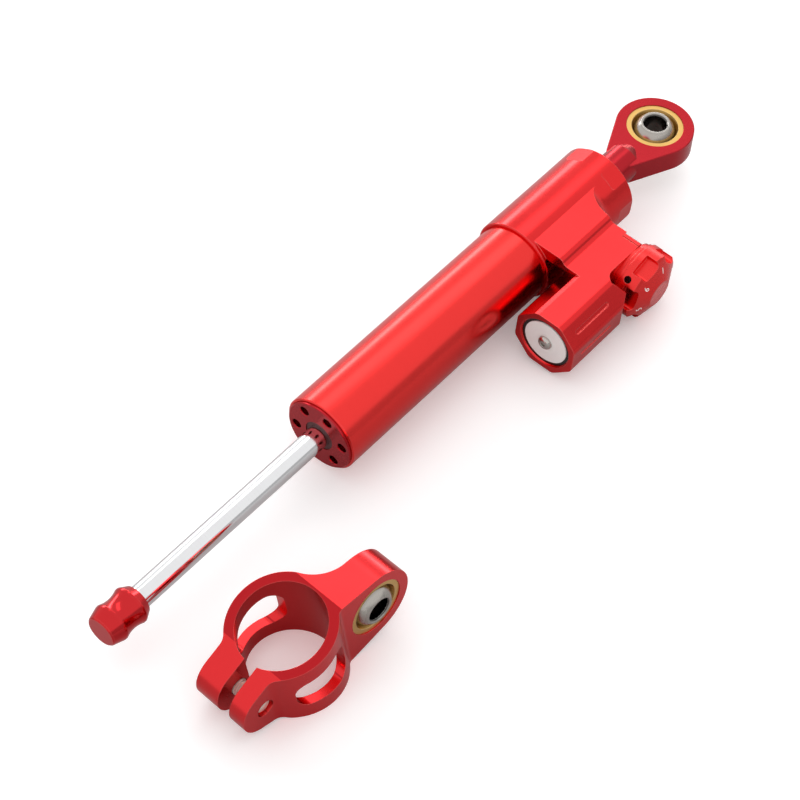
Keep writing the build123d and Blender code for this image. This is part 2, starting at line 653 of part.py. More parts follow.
# Head: the collar, the bridge with its rear scoop and hollow front, and the eight-sided pod
BRIDGE_LENGTH = SCOOP_END_STATION - BRIDGE_FRONT_STATION
REAR_GROOVE_LENGTH = BRIDGE_OUTER_OFFSET - REAR_GROOVE_START
POD_LENGTH = BRIDGE_REAR_STATION - POD_FRONT_STATION
PLUNGER_PLACE = (0, -PLUNGER_OFFSET)
with BuildPart() as head_housing:
    extrude(bridge_section(), amount=BRIDGE_LENGTH)
    extrude(hollow_section(), amount=HOLLOW_DEPTH, mode=Mode.SUBTRACT)
    extrude(pod_section(), amount=POD_LENGTH)
    revolve(scoop_outline(), axis=BARREL_AXIS, mode=Mode.SUBTRACT)
    extrude(rear_bevel(), amount=REAR_GROOVE_LENGTH + CUT_OVERRUN, mode=Mode.SUBTRACT)
    extrude(rear_groove(), amount=REAR_GROOVE_LENGTH, mode=Mode.SUBTRACT)
    revolve(
        outline(
            LENGTHWISE,
            (HEAD_FRONT_STATION, 0),
            (HEAD_END_STATION, 0),
            (HEAD_END_STATION, HEAD_RADIUS - HEAD_EDGE_CHAMFER),
            (HEAD_END_STATION - HEAD_EDGE_CHAMFER, HEAD_RADIUS),
            (HEAD_FRONT_STATION + HEAD_EDGE_CHAMFER, HEAD_RADIUS),
            (HEAD_FRONT_STATION, HEAD_RADIUS - HEAD_EDGE_CHAMFER),
        ),
        axis=BARREL_AXIS,
    )
    extrude(relief_outline(), amount=POD_FLATS, both=True, mode=Mode.SUBTRACT)
    for notch in range(NOTCH_COUNT):
        extrude(notch_outline(notch), amount=HEAD_RADIUS, mode=Mode.SUBTRACT)
    upper_slot = facet_slot(45, UPPER_GROOVE_START_STATION, UPPER_GROOVE_END_STATION, 0)
    extrude(upper_slot, amount=-FACET_GROOVE_DEPTH, mode=Mode.SUBTRACT)
    outer_slot = facet_slot(0, OUTER_GROOVE_START_STATION, OUTER_GROOVE_END_STATION, OUTER_GROOVE_RISE)
    extrude(outer_slot, amount=-FACET_GROOVE_DEPTH, mode=Mode.SUBTRACT)
    revolve(
        outline(
            LENGTHWISE,
            (HEAD_FRONT_STATION - CUT_OVERRUN, 0),
            (HEAD_END_STATION + CUT_OVERRUN, 0),
            (HEAD_END_STATION + CUT_OVERRUN, SEAL_POCKET_RADIUS),
            (HEAD_SEAL_POCKET_STATION, SEAL_POCKET_RADIUS),
            (HEAD_SEAL_POCKET_STATION, ROD_PASSAGE_RADIUS),
            (HEAD_BUSH_STATION, ROD_PASSAGE_RADIUS),
            (HEAD_BUSH_STATION, BUSH_POCKET_RADIUS),
            (TUBE_INNER_STATION + SEAT_GAP, BUSH_POCKET_RADIUS),
            (TUBE_INNER_STATION + SEAT_GAP, TUBE_RADIUS + SEAT_GAP),
            (HEAD_FRONT_STATION - CUT_OVERRUN, TUBE_RADIUS + SEAT_GAP),
        ),
        axis=BARREL_AXIS,
        mode=Mode.SUBTRACT,
    )
    revolve(
        outline(
            POD_LENGTHWISE,
            (POD_FRONT_STATION - CUT_OVERRUN, 0),
            (POD_BORE_END_STATION, 0),
            (POD_BORE_END_STATION, POD_BORE_RADIUS),
            (POD_FRONT_STATION + POD_MOUTH_DEPTH, POD_BORE_RADIUS),
            (POD_FRONT_STATION + POD_MOUTH_DEPTH, POD_MOUTH_RADIUS),
            (POD_FRONT_STATION + POD_MOUTH_CHAMFER, POD_MOUTH_RADIUS),
            (POD_FRONT_STATION - CUT_OVERRUN, POD_MOUTH_RADIUS + POD_MOUTH_CHAMFER + CUT_OVERRUN),
        ),
        axis=POD_AXIS,
        mode=Mode.SUBTRACT,
    )
    extrude(
        disc(facing_knob(SPINDLE_BORE_START_DISTANCE), SPINDLE_RADIUS),
        amount=POD_OFFSET,
        mode=Mode.SUBTRACT,
    )
    extrude(
        disc_at(facing_knob(BRIDGE_OUTER_OFFSET), PLUNGER_PLACE, PLUNGER_RADIUS),
        amount=-PLUNGER_LENGTH,
        mode=Mode.SUBTRACT,
    )
save(head_housing, "head_housing")

# Reservoir closure: plug, retaining ring, cord and gas screw
PLUG_FACE_STATION = POD_FRONT_STATION + PLUG_FACE_DISTANCE
PLUG_END_STATION = PLUG_FACE_STATION + PLUG_LENGTH
PLUG_GROOVE_STATION = POD_FRONT_STATION + PLUG_GROOVE_DISTANCE
RING_STATION = POD_FRONT_STATION + RING_BACK_DISTANCE - RING_THICKNESS
with BuildPart() as reservoir_plug:
    revolve(
        ring_outline(POD_LENGTHWISE, PLUG_FACE_STATION, PLUG_END_STATION, 0, PLUG_RADIUS),
        axis=POD_AXIS,
    )
    revolve(
        ring_outline(
            POD_LENGTHWISE,
            PLUG_GROOVE_STATION,
            PLUG_GROOVE_STATION + CORD_GROOVE_WIDTH,
            POD_BORE_RADIUS - CORD_GROOVE_DEPTH,
            POD_BORE_RADIUS,
        ),
        axis=POD_AXIS,
        mode=Mode.SUBTRACT,
    )
    extrude(
        disc_at(across(PLUG_FACE_STATION), (-POD_OFFSET, 0), GAS_SCREW_SHANK_RADIUS + SEAT_GAP),
        amount=GAS_SCREW_LENGTH + SEAT_GAP,
        mode=Mode.SUBTRACT,
    )
save(reservoir_plug, "reservoir_plug")

with BuildPart() as plug_ring:
    revolve(
        ring_outline(
            POD_LENGTHWISE,
            RING_STATION,
            RING_STATION + RING_THICKNESS,
            PLUG_RADIUS + SEAT_GAP,
            POD_MOUTH_RADIUS - SEAT_GAP,
        ),
        axis=POD_AXIS,
    )
save(plug_ring, "plug_ring")

with BuildPart() as plug_o_ring:
    revolve(
        cord_outline(
            POD_LENGTHWISE,
            PLUG_GROOVE_STATION + HALF_SHARE * CORD_GROOVE_WIDTH,
            POD_BORE_RADIUS - SEAT_GAP - CORD_RADIUS,
            CORD_RADIUS,
        ),
        axis=POD_AXIS,
    )
save(plug_o_ring, "plug_o_ring")


def domed_head(plane, face, radius, height):
    """The half section of a domed screw head standing on a face."""
    with BuildSketch(plane) as drawn:
        with BuildLine():
            ThreePointArc(
                (face - height, HALF_SHARE * radius),
                (face - DOME_HEIGHT_SHARE * height, DOME_RADIUS_SHARE * radius),
                (face, radius),
            )
            Polyline(
                (face, radius),
                (face, 0),
                (face - height, 0),
                (face - height, HALF_SHARE * radius),
            )
        make_face()
    return drawn.sketch


GAS_HEAD_STATION = PLUG_FACE_STATION - SEAT_GAP
GAS_TOP_STATION = GAS_HEAD_STATION - GAS_SCREW_HEAD_HEIGHT
with BuildPart() as plug_screw:
    revolve(
        domed_head(POD_LENGTHWISE, GAS_HEAD_STATION, GAS_SCREW_HEAD_RADIUS, GAS_SCREW_HEAD_HEIGHT),
        axis=POD_AXIS,
    )
    extrude(
        disc_at(across(GAS_HEAD_STATION), (-POD_OFFSET, 0), GAS_SCREW_SHANK_RADIUS),
        amount=GAS_SCREW_LENGTH,
    )
    with BuildSketch(across(GAS_TOP_STATION)):
        with Locations((-POD_OFFSET, 0)):
            RegularPolygon(HALF_SHARE * GAS_SCREW_SOCKET, 6, major_radius=False)
    extrude(amount=GAS_SCREW_SOCKET_DEPTH, mode=Mode.SUBTRACT)
save(plug_screw, "plug_screw")

# Separating piston that floats between oil and gas
FLOAT_GROOVE_STATION = FLOAT_STATION + HALF_SHARE * (FLOAT_LENGTH - CORD_GROOVE_WIDTH)
with BuildPart() as compensator_piston:
    revolve(
        outline(
            POD_LENGTHWISE,
            (FLOAT_STATION + FLOAT_CUP_DEPTH, 0),
            (FLOAT_STATION + FLOAT_CUP_DEPTH, FLOAT_CUP_RADIUS),
            (FLOAT_STATION, FLOAT_CUP_RADIUS),
            (FLOAT_STATION, FLOAT_RADIUS),
            (FLOAT_STATION + FLOAT_LENGTH, FLOAT_RADIUS),
            (FLOAT_STATION + FLOAT_LENGTH, 0),
        ),
        axis=POD_AXIS,
    )
    revolve(
        ring_outline(
            POD_LENGTHWISE,
            FLOAT_GROOVE_STATION,
            FLOAT_GROOVE_STATION + CORD_GROOVE_WIDTH,
            POD_BORE_RADIUS - CORD_GROOVE_DEPTH,
            POD_BORE_RADIUS,
        ),
        axis=POD_AXIS,
        mode=Mode.SUBTRACT,
    )
save(compensator_piston, "compensator_piston")

with BuildPart() as compensator_o_ring:
    revolve(
        cord_outline(
            POD_LENGTHWISE,
            FLOAT_GROOVE_STATION + HALF_SHARE * CORD_GROOVE_WIDTH,
            POD_BORE_RADIUS - RUNNING_GAP - CORD_RADIUS,
            CORD_RADIUS,
        ),
        axis=POD_AXIS,
    )
save(compensator_o_ring, "compensator_o_ring")

# Click adjuster: fixed collar, plunger, turning knob, grub screw, spindle and its cord
COLLAR_TOP_DISTANCE = BRIDGE_OUTER_OFFSET + COLLAR_THICKNESS
KNOB_BACK_DISTANCE = COLLAR_TOP_DISTANCE + FACE_GAP
with BuildPart() as knob_collar:
    extrude(disc(facing_knob(BRIDGE_OUTER_OFFSET), COLLAR_RADIUS), amount=COLLAR_THICKNESS)
    extrude(
        disc(facing_knob(BRIDGE_OUTER_OFFSET), SPINDLE_RADIUS),
        amount=COLLAR_THICKNESS,
        mode=Mode.SUBTRACT,
    )
    extrude(
        disc_at(facing_knob(BRIDGE_OUTER_OFFSET), PLUNGER_PLACE, PLUNGER_RADIUS),
        amount=COLLAR_THICKNESS,
        mode=Mode.SUBTRACT,
    )
save(knob_collar, "knob_collar")

with BuildPart() as detent_plunger:
    plunger_bottom = facing_knob(BRIDGE_OUTER_OFFSET - PLUNGER_LENGTH + SEAT_GAP)
    plunger_body = disc_at(plunger_bottom, PLUNGER_PLACE, PLUNGER_RADIUS - SEAT_GAP)
    extrude(plunger_body, amount=PLUNGER_LENGTH + COLLAR_THICKNESS - PLUNGER_NOSE_RADIUS)
    plunger_nose = disc_at(plunger_bottom, PLUNGER_PLACE, PLUNGER_NOSE_RADIUS)
    extrude(plunger_nose, amount=PLUNGER_LENGTH + COLLAR_THICKNESS - SEAT_GAP)
    nose_edge = detent_plunger.faces().sort_by(KNOB_AXIS)[-1].edges()
    fillet(nose_edge, HALF_SHARE * PLUNGER_NOSE_RADIUS)
save(detent_plunger, "detent_plunger")

GRUB_TURN = math.radians(GRUB_ANGLE)
GRUB_DIRECTION = ALONG * math.cos(GRUB_TURN) + UPWARD * math.sin(GRUB_TURN)
GRUB_CENTRE = KNOB_CENTRE + OUTWARD * GRUB_HOLE_DISTANCE


def grub_plane(radius):
    """A plane square to the grub screw at a radius from the knob's axis."""
    return Plane(origin=GRUB_CENTRE + GRUB_DIRECTION * radius, x_dir=OUTWARD, z_dir=GRUB_DIRECTION)


with BuildPart() as adjuster_knob:
    revolve(
        outline(
            KNOB_LENGTHWISE,
            (KNOB_BACK_DISTANCE, 0),
            (KNOB_BACK_DISTANCE, KNOB_FLANGE_RADIUS),
            (KNOB_FLANGE_STEP_DISTANCE, KNOB_FLANGE_RADIUS),
            (KNOB_FLANGE_STEP_DISTANCE, KNOB_RIM_RADIUS),
            (KNOB_RIM_DISTANCE, KNOB_RIM_RADIUS),
            (KNOB_SHOULDER_DISTANCE, KNOB_SHOULDER_RADIUS),
            (KNOB_APEX_DISTANCE, KNOB_APEX_RADIUS),
            (KNOB_APEX_DISTANCE, 0),
        ),
        axis=KNOB_AXIS,
    )
    with BuildSketch(facing_knob(POCKET_FLOOR_DISTANCE)):
        with PolarLocations(
            POCKET_INNER_RADIUS + HALF_SHARE * POCKET_REACH,
            POCKET_COUNT,
            start_angle=POCKET_START_ANGLE,
        ):
            RectangleRounded(POCKET_REACH, POCKET_WIDTH, POCKET_CORNER_RADIUS)
    extrude(amount=KNOB_RIM_RADIUS, mode=Mode.SUBTRACT)
    extrude(
        disc(facing_knob(KNOB_BACK_DISTANCE), SPINDLE_RADIUS),
        amount=KNOB_BORE_END_DISTANCE - KNOB_BACK_DISTANCE,
        mode=Mode.SUBTRACT,
    )
    extrude(disc(grub_plane(0), GRUB_HOLE_RADIUS), amount=KNOB_RIM_RADIUS + CUT_OVERRUN, mode=Mode.SUBTRACT)
save(adjuster_knob, "adjuster_knob")

with BuildPart() as grub_screw:
    extrude(disc(grub_plane(SPINDLE_RADIUS), GRUB_HOLE_RADIUS - SEAT_GAP), amount=GRUB_LENGTH)
    extrude(
        hexagon(grub_plane(SPINDLE_RADIUS + GRUB_LENGTH), GRUB_SOCKET),
        amount=-GRUB_SOCKET_DEPTH,
        mode=Mode.SUBTRACT,
    )
save(grub_screw, "grub_screw")

SPINDLE_OUTER = SPINDLE_RADIUS - RUNNING_GAP
SPINDLE_GROOVE_END = SPINDLE_GROOVE_DISTANCE + 2 * SPINDLE_CORD_RADIUS + RUNNING_GAP
SPINDLE_GROOVE_RADIUS = SPINDLE_RADIUS - RUNNING_GAP - 2 * SPINDLE_CORD_RADIUS - SEAT_GAP
with BuildPart() as adjuster_spindle:
    revolve(
        outline(
            KNOB_LENGTHWISE,
            (SPINDLE_START_DISTANCE - SPINDLE_TIP_LENGTH, 0),
            (SPINDLE_START_DISTANCE - SPINDLE_TIP_LENGTH, SPINDLE_TIP_RADIUS),
            (SPINDLE_START_DISTANCE, SPINDLE_OUTER),
            (SPINDLE_GROOVE_DISTANCE, SPINDLE_OUTER),
            (SPINDLE_GROOVE_DISTANCE, SPINDLE_GROOVE_RADIUS),
            (SPINDLE_GROOVE_END, SPINDLE_GROOVE_RADIUS),
            (SPINDLE_GROOVE_END, SPINDLE_OUTER),
            (KNOB_BORE_END_DISTANCE - FACE_GAP, SPINDLE_OUTER),
            (KNOB_BORE_END_DISTANCE - FACE_GAP, 0),
        ),
        axis=KNOB_AXIS,
    )
save(adjuster_spindle, "adjuster_spindle")

with BuildPart() as spindle_o_ring:
    revolve(
        cord_outline(
            KNOB_LENGTHWISE,
            HALF_SHARE * (SPINDLE_GROOVE_DISTANCE + SPINDLE_GROOVE_END),
            SPINDLE_RADIUS - RUNNING_GAP - SPINDLE_CORD_RADIUS,
            SPINDLE_CORD_RADIUS,
        ),
        axis=KNOB_AXIS,
    )
save(spindle_o_ring, "spindle_o_ring")

# Rod with two clip grooves, its piston, band, clips and end cap
FIRST_CLIP_STATION = PISTON_STATION - CLIP_LENGTH
with BuildPart() as damper_rod:
    revolve(
        outline(
            LENGTHWISE,
            (ROD_CAP_END_STATION, 0),
            (ROD_CAP_END_STATION, ROD_RADIUS - ROD_TIP_CHAMFER),
            (ROD_CAP_END_STATION + ROD_TIP_CHAMFER, ROD_RADIUS),
            (FIRST_CLIP_STATION - SEAT_GAP, ROD_RADIUS),
            (FIRST_CLIP_STATION - SEAT_GAP, CLIP_GROOVE_RADIUS),
            (PISTON_STATION, CLIP_GROOVE_RADIUS),
            (PISTON_STATION, ROD_RADIUS),
            (PISTON_END_STATION, ROD_RADIUS),
            (PISTON_END_STATION, CLIP_GROOVE_RADIUS),
            (PISTON_END_STATION + CLIP_LENGTH + SEAT_GAP, CLIP_GROOVE_RADIUS),
            (PISTON_END_STATION + CLIP_LENGTH + SEAT_GAP, ROD_RADIUS),
            (ROD_EYE_END_STATION - ROD_TIP_CHAMFER, ROD_RADIUS),
            (ROD_EYE_END_STATION, ROD_RADIUS - ROD_TIP_CHAMFER),
            (ROD_EYE_END_STATION, 0),
        ),
        axis=BARREL_AXIS,
    )
save(damper_rod, "damper_rod")

BAND_STATION = PISTON_STATION + HALF_SHARE * (PISTON_LENGTH - BAND_LENGTH)
with BuildPart() as piston:
    revolve(
        outline(
            LENGTHWISE,
            (PISTON_STATION, ROD_RADIUS + SEAT_GAP),
            (PISTON_END_STATION, ROD_RADIUS + SEAT_GAP),
            (PISTON_END_STATION, PISTON_RADIUS),
            (BAND_STATION + BAND_LENGTH, PISTON_RADIUS),
            (BAND_STATION + BAND_LENGTH, BAND_INNER_RADIUS),
            (BAND_STATION, BAND_INNER_RADIUS),
            (BAND_STATION, PISTON_RADIUS),
            (PISTON_STATION, PISTON_RADIUS),
        ),
        axis=BARREL_AXIS,
    )
save(piston, "piston")

with BuildPart() as piston_band:
    revolve(
        ring_outline(
            LENGTHWISE,
            BAND_STATION + SEAT_GAP,
            BAND_STATION + BAND_LENGTH - SEAT_GAP,
            BAND_INNER_RADIUS + RUNNING_GAP,
            TUBE_BORE_RADIUS - RUNNING_GAP,
        ),
        axis=BARREL_AXIS,
    )
save(piston_band, "piston_band")

with BuildPart() as piston_clips:
    for clip_station in (FIRST_CLIP_STATION, PISTON_END_STATION + SEAT_GAP):
        revolve(
            ring_outline(
                LENGTHWISE,
                clip_station,
                clip_station + CLIP_LENGTH - SEAT_GAP,
                CLIP_GROOVE_RADIUS + SEAT_GAP,
                CLIP_RADIUS,
            ),
            axis=BARREL_AXIS,
        )
save(piston_clips, "piston_clips")


def cap_outline():
    """The end cap's half section: two crests with a hollow waist between them."""
    with BuildSketch(LENGTHWISE) as drawn:
        with BuildLine():
            ThreePointArc(
                (CAP_FIRST_CREST_STATION - CAP_CREST_LAND, CAP_CREST_RADIUS),
                (CAP_WAIST_STATION, CAP_WAIST_RADIUS),
                (CAP_SECOND_CREST_STATION + CAP_CREST_LAND, CAP_CREST_RADIUS),
            )
            Polyline(
                (CAP_SECOND_CREST_STATION + CAP_CREST_LAND, CAP_CREST_RADIUS),
                (CAP_SECOND_CREST_STATION - CAP_CREST_LAND, CAP_CREST_RADIUS),
                (CAP_SHOULDER_STATION, CAP_SHOULDER_RADIUS),
                (CAP_END_STATION, CAP_END_RADIUS),
                (CAP_END_STATION, 0),
                (ROD_CAP_END_STATION - FACE_GAP, 0),
                (ROD_CAP_END_STATION - FACE_GAP, ROD_RADIUS + SEAT_GAP),
                (CAP_FACE_STATION, ROD_RADIUS + SEAT_GAP),
                (CAP_FACE_STATION, CAP_FACE_RADIUS),
                (CAP_FIRST_CREST_STATION + CAP_CREST_LAND, CAP_CREST_RADIUS),
                (CAP_FIRST_CREST_STATION - CAP_CREST_LAND, CAP_CREST_RADIUS),
            )
        make_face()
    return drawn.sketch


with BuildPart() as rod_end_cap:
    revolve(cap_outline(), axis=BARREL_AXIS)
save(rod_end_cap, "rod_end_cap")


def eye_plate():
    """The eye's plate from above: the round eye and the straight sides that run to the neck."""
    with BuildSketch(EYE_PLANE) as drawn:
        Circle(EYE_RADIUS)
        with Locations((NECK_PLATE_STATION, 0)):
            Circle(NECK_RADIUS)
        make_hull()
    return drawn.sketch


# Rod eye: a plate with tapering sides, a round neck, a threaded socket and the race seat
with BuildPart() as rod_eye:
    extrude(eye_plate(), amount=HALF_SHARE * EYE_THICKNESS, both=True)
    eye_rims = rod_eye.faces().filter_by(Axis((0, 0, 0), EYE_NORMAL)).edges()
    chamfer(eye_rims, EYE_EDGE_CHAMFER)
    revolve(
        outline(
            LENGTHWISE,
            (NECK_NOSE_STATION, 0),
            (NECK_NOSE_STATION, NECK_NOSE_RADIUS),
            (NECK_PLATE_STATION, NECK_RADIUS),
            (NECK_REAR_STATION + NECK_REAR_CHAMFER, NECK_RADIUS),
            (NECK_REAR_STATION, NECK_RADIUS - NECK_REAR_CHAMFER),
            (NECK_REAR_STATION, 0),
        ),
        axis=BARREL_AXIS,
    )
    extrude(
        disc(across(NECK_REAR_STATION), ROD_RADIUS + SEAT_GAP),
        amount=ROD_EYE_END_STATION - NECK_REAR_STATION + FACE_GAP,
        mode=Mode.SUBTRACT,
    )
    extrude(disc(EYE_PLANE, RACE_RADIUS), amount=EYE_THICKNESS, both=True, mode=Mode.SUBTRACT)
save(rod_eye, "rod_eye")


def race_outline(plane):
    """The half section of a race: a ring hollowed to the ball, its two mouths flaring."""
    hollow = BALL_RADIUS + BALL_GAP
    half_width = HALF_SHARE * RACE_WIDTH
    half_seat = HALF_SHARE * RACE_SEAT_WIDTH
    throat = math.sqrt(hollow**2 - half_seat**2)
    outer = RACE_RADIUS - SEAT_GAP
    with BuildSketch(plane) as drawn:
        with BuildLine():
            ThreePointArc((half_seat, throat), (0, hollow), (-half_seat, throat))
            Polyline(
                (-half_seat, throat),
                (-half_width, RACE_MOUTH_RADIUS),
                (-half_width, outer),
                (half_width, outer),
                (half_width, RACE_MOUTH_RADIUS),
                (half_seat, throat),
            )
        make_face()
    return drawn.sketch


def ball_outline(plane):
    """The half section of a bored ball with flat ends."""
    half_width = HALF_SHARE * BALL_WIDTH
    flat = math.sqrt(BALL_RADIUS**2 - half_width**2)
    with BuildSketch(plane) as drawn:
        with BuildLine():
            ThreePointArc((half_width, flat), (0, BALL_RADIUS), (-half_width, flat))
            Polyline(
                (-half_width, flat),
                (-half_width, BALL_BORE_RADIUS + BALL_BORE_CHAMFER),
                (BALL_BORE_CHAMFER - half_width, BALL_BORE_RADIUS),
                (half_width - BALL_BORE_CHAMFER, BALL_BORE_RADIUS),
                (half_width, BALL_BORE_RADIUS + BALL_BORE_CHAMFER),
                (half_width, flat),
            )
        make_face()
    return drawn.sketch


EYE_SECTION = Plane(origin=(0, 0, 0), x_dir=EYE_NORMAL, z_dir=ALONG)
EYE_AXIS = Axis((0, 0, 0), EYE_NORMAL)
CLAMP_BALL_CENTRE = CLAMP_CENTRE + CLAMP_ALONG * CLAMP_EYE_DISTANCE - CLAMP_ACROSS * CLAMP_RACE_OFFSET
CLAMP_SECTION = Plane(origin=CLAMP_BALL_CENTRE, x_dir=CLAMP_ACROSS * -1, z_dir=CLAMP_ALONG)
CLAMP_EYE_AXIS = Axis(CLAMP_BALL_CENTRE, CLAMP_ACROSS * -1)

with BuildPart() as eye_race:
    revolve(race_outline(EYE_SECTION), axis=EYE_AXIS)
save(eye_race, "eye_race")

with BuildPart() as eye_ball:
    revolve(ball_outline(EYE_SECTION), axis=EYE_AXIS)
save(eye_ball, "eye_ball")

with BuildPart() as clamp_race:
    revolve(race_outline(CLAMP_SECTION), axis=CLAMP_EYE_AXIS)
save(clamp_race, "clamp_race")

with BuildPart() as clamp_ball:
    revolve(ball_outline(CLAMP_SECTION), axis=CLAMP_EYE_AXIS)
save(clamp_ball, "clamp_ball")


def slanted_height(distance):
    """Half the clamp's height at a distance from the ring's centre, between its slanting faces."""
    return CLAMP_HALF_HEIGHT + distance * math.tan(SLANT)


def clamp_side():
    """The clamp from the side: ears, slanting ring faces and the round eye, drawn tight together."""
    ear_height = slanted_height(-CLAMP_EAR_CREASE_DISTANCE)
    arm_height = slanted_height(CLAMP_CREASE_DISTANCE)
    with BuildSketch(CLAMP_SIDE_VIEW) as drawn:
        with Locations((CLAMP_EYE_DISTANCE, 0)):
            Circle(CLAMP_EYE_RADIUS)
        with Locations((-CLAMP_SCREW_DISTANCE, 0)):
            Circle(CLAMP_EAR_RADIUS)
        with BuildLine():
            Polyline(
                (-CLAMP_EAR_CREASE_DISTANCE, -ear_height),
                (CLAMP_CREASE_DISTANCE, -arm_height),
                (CLAMP_CREASE_DISTANCE, arm_height),
                (-CLAMP_EAR_CREASE_DISTANCE, ear_height),
                close=True,
            )
        make_face()
        make_hull()
    return drawn.sketch


def clamp_top():
    """The clamp from above: ring, offset arm and ears, with their inner corners blended."""
    arm_width = ARM_NEAR_OFFSET + ARM_FAR_OFFSET
    arm_middle = HALF_SHARE * (ARM_FAR_OFFSET - ARM_NEAR_OFFSET)
    ear_width = EAR_NEAR_OFFSET + EAR_FAR_OFFSET
    ear_middle = HALF_SHARE * (EAR_FAR_OFFSET - EAR_NEAR_OFFSET)
    ear_length = CLAMP_SCREW_DISTANCE + CLAMP_EAR_RADIUS
    with BuildSketch(CLAMP_TOP_VIEW) as drawn:
        Circle(CLAMP_RING_RADIUS)
        with Locations((HALF_SHARE * CLAMP_REACH, arm_middle)):
            Rectangle(CLAMP_REACH, arm_width)
        with Locations((-HALF_SHARE * ear_length, ear_middle)):
            Rectangle(ear_length, ear_width)
        fillet(drawn.vertices().sort_by(Axis.X)[2:4], EAR_CORNER_BLEND)
        far_corner = drawn.vertices().sort_by_distance((CLAMP_RING_RADIUS, ARM_FAR_OFFSET))[:1]
        fillet(far_corner, ARM_FAR_BLEND)
        near_corner = drawn.vertices().sort_by_distance((CLAMP_CREASE_DISTANCE, -ARM_NEAR_OFFSET))[:1]
        fillet(near_corner, ARM_NEAR_BLEND)
    return drawn.sketch


def window_outline():
    """The window through both side walls of the ring, narrower toward the ears."""
    with BuildSketch(CLAMP_SIDE_VIEW) as drawn:
        with Locations((-WINDOW_EAR_DISTANCE, WINDOW_EAR_RISE), (-WINDOW_EAR_DISTANCE, -WINDOW_EAR_RISE)):
            Circle(WINDOW_EAR_RADIUS)
        with Locations((WINDOW_ARM_DISTANCE, WINDOW_ARM_RISE), (WINDOW_ARM_DISTANCE, -WINDOW_ARM_RISE)):
            Circle(WINDOW_ARM_RADIUS)
        make_hull()
    return drawn.sketch


def slot_outline():
    """The saw cut between the ears, from the bore to the open end."""
    length = CLAMP_SCREW_DISTANCE + CLAMP_EAR_RADIUS + CUT_OVERRUN
    width = SLOT_NEAR_OFFSET + SLOT_FAR_OFFSET
    with BuildSketch(CLAMP_TOP_VIEW) as drawn:
        with Locations((-HALF_SHARE * length, HALF_SHARE * (SLOT_FAR_OFFSET - SLOT_NEAR_OFFSET))):
            Rectangle(length, width)
    return drawn.sketch


SCREW_PLACE = (-CLAMP_SCREW_DISTANCE, 0)
CLAMP_BEARING_PLACE = (CLAMP_EYE_DISTANCE, 0)
EAR_FAR_PLANE = CLAMP_SIDE_VIEW.offset(-EAR_FAR_OFFSET)
ARM_NEAR_PLANE = CLAMP_SIDE_VIEW.offset(ARM_NEAR_OFFSET)
RACE_SEAT_DEPTH = CLAMP_RACE_RECESS + RACE_WIDTH
HEAD_SEAT_DEPTH = SCREW_HEAD_SINK + SCREW_HEAD_LENGTH
with BuildPart() as clamp_body:
    extrude(clamp_side(), amount=CLAMP_REACH, both=True)
    extrude(clamp_top(), amount=CLAMP_REACH, both=True, mode=Mode.INTERSECT)
    extrude(disc(CLAMP_TOP_VIEW, CLAMP_BORE_RADIUS), amount=CLAMP_REACH, both=True, mode=Mode.SUBTRACT)
    extrude(slot_outline(), amount=CLAMP_REACH, both=True, mode=Mode.SUBTRACT)
    extrude(window_outline(), amount=CLAMP_REACH, both=True, mode=Mode.SUBTRACT)
    extrude(
        disc_at(ARM_NEAR_PLANE, CLAMP_BEARING_PLACE, RACE_RADIUS),
        amount=-RACE_SEAT_DEPTH,
        mode=Mode.SUBTRACT,
    )
    extrude(
        disc_at(ARM_NEAR_PLANE, CLAMP_BEARING_PLACE, CLAMP_LIP_RADIUS),
        amount=-CLAMP_REACH,
        mode=Mode.SUBTRACT,
    )
    extrude(
        disc_at(CLAMP_SIDE_VIEW, SCREW_PLACE, SCREW_HOLE_RADIUS),
        amount=CLAMP_REACH,
        both=True,
        mode=Mode.SUBTRACT,
    )
    extrude(
        disc_at(EAR_FAR_PLANE, SCREW_PLACE, SCREW_HEAD_RADIUS + SEAT_GAP),
        amount=HEAD_SEAT_DEPTH + SEAT_GAP,
        mode=Mode.SUBTRACT,
    )
save(clamp_body, "clamp_body")

# Clamp screw: its head sunk in the far ear and its tip short of the near ear's face
SCREW_HEAD_PLANE = EAR_FAR_PLANE.offset(SCREW_HEAD_SINK)
SCREW_LENGTH = EAR_FAR_OFFSET - SCREW_HEAD_SINK + EAR_NEAR_OFFSET - SCREW_END_RECESS
with BuildPart() as clamp_screw:
    extrude(disc_at(SCREW_HEAD_PLANE, SCREW_PLACE, SCREW_HEAD_RADIUS), amount=SCREW_HEAD_LENGTH)
    extrude(disc_at(SCREW_HEAD_PLANE, SCREW_PLACE, SCREW_RADIUS), amount=SCREW_LENGTH)
    screw_tip = clamp_screw.faces().sort_by(Axis(CLAMP_CENTRE, CLAMP_ACROSS))[0].edges()
    chamfer(screw_tip, SCREW_TIP_CHAMFER)
    with BuildSketch(SCREW_HEAD_PLANE):
        with Locations(SCREW_PLACE):
            RegularPolygon(SCREW_SOCKET, 6, major_radius=False)
    extrude(amount=SCREW_SOCKET_DEPTH, mode=Mode.SUBTRACT)
save(clamp_screw, "clamp_screw")
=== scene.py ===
"""Looks of the motorcycle steering damper and its barrel clamp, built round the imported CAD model.

The origin is the centre of the rod eye's ball, +X runs from the barrel to the eye, +Z is up.
Places and pieces are sized in millimetres and become metres when a mesh is placed.
Finishes and the studio are sized in metres, as Blender has them.
"""

import logging
import math
from dataclasses import dataclass
from enum import Enum

import bpy
from mathutils import Matrix, Vector

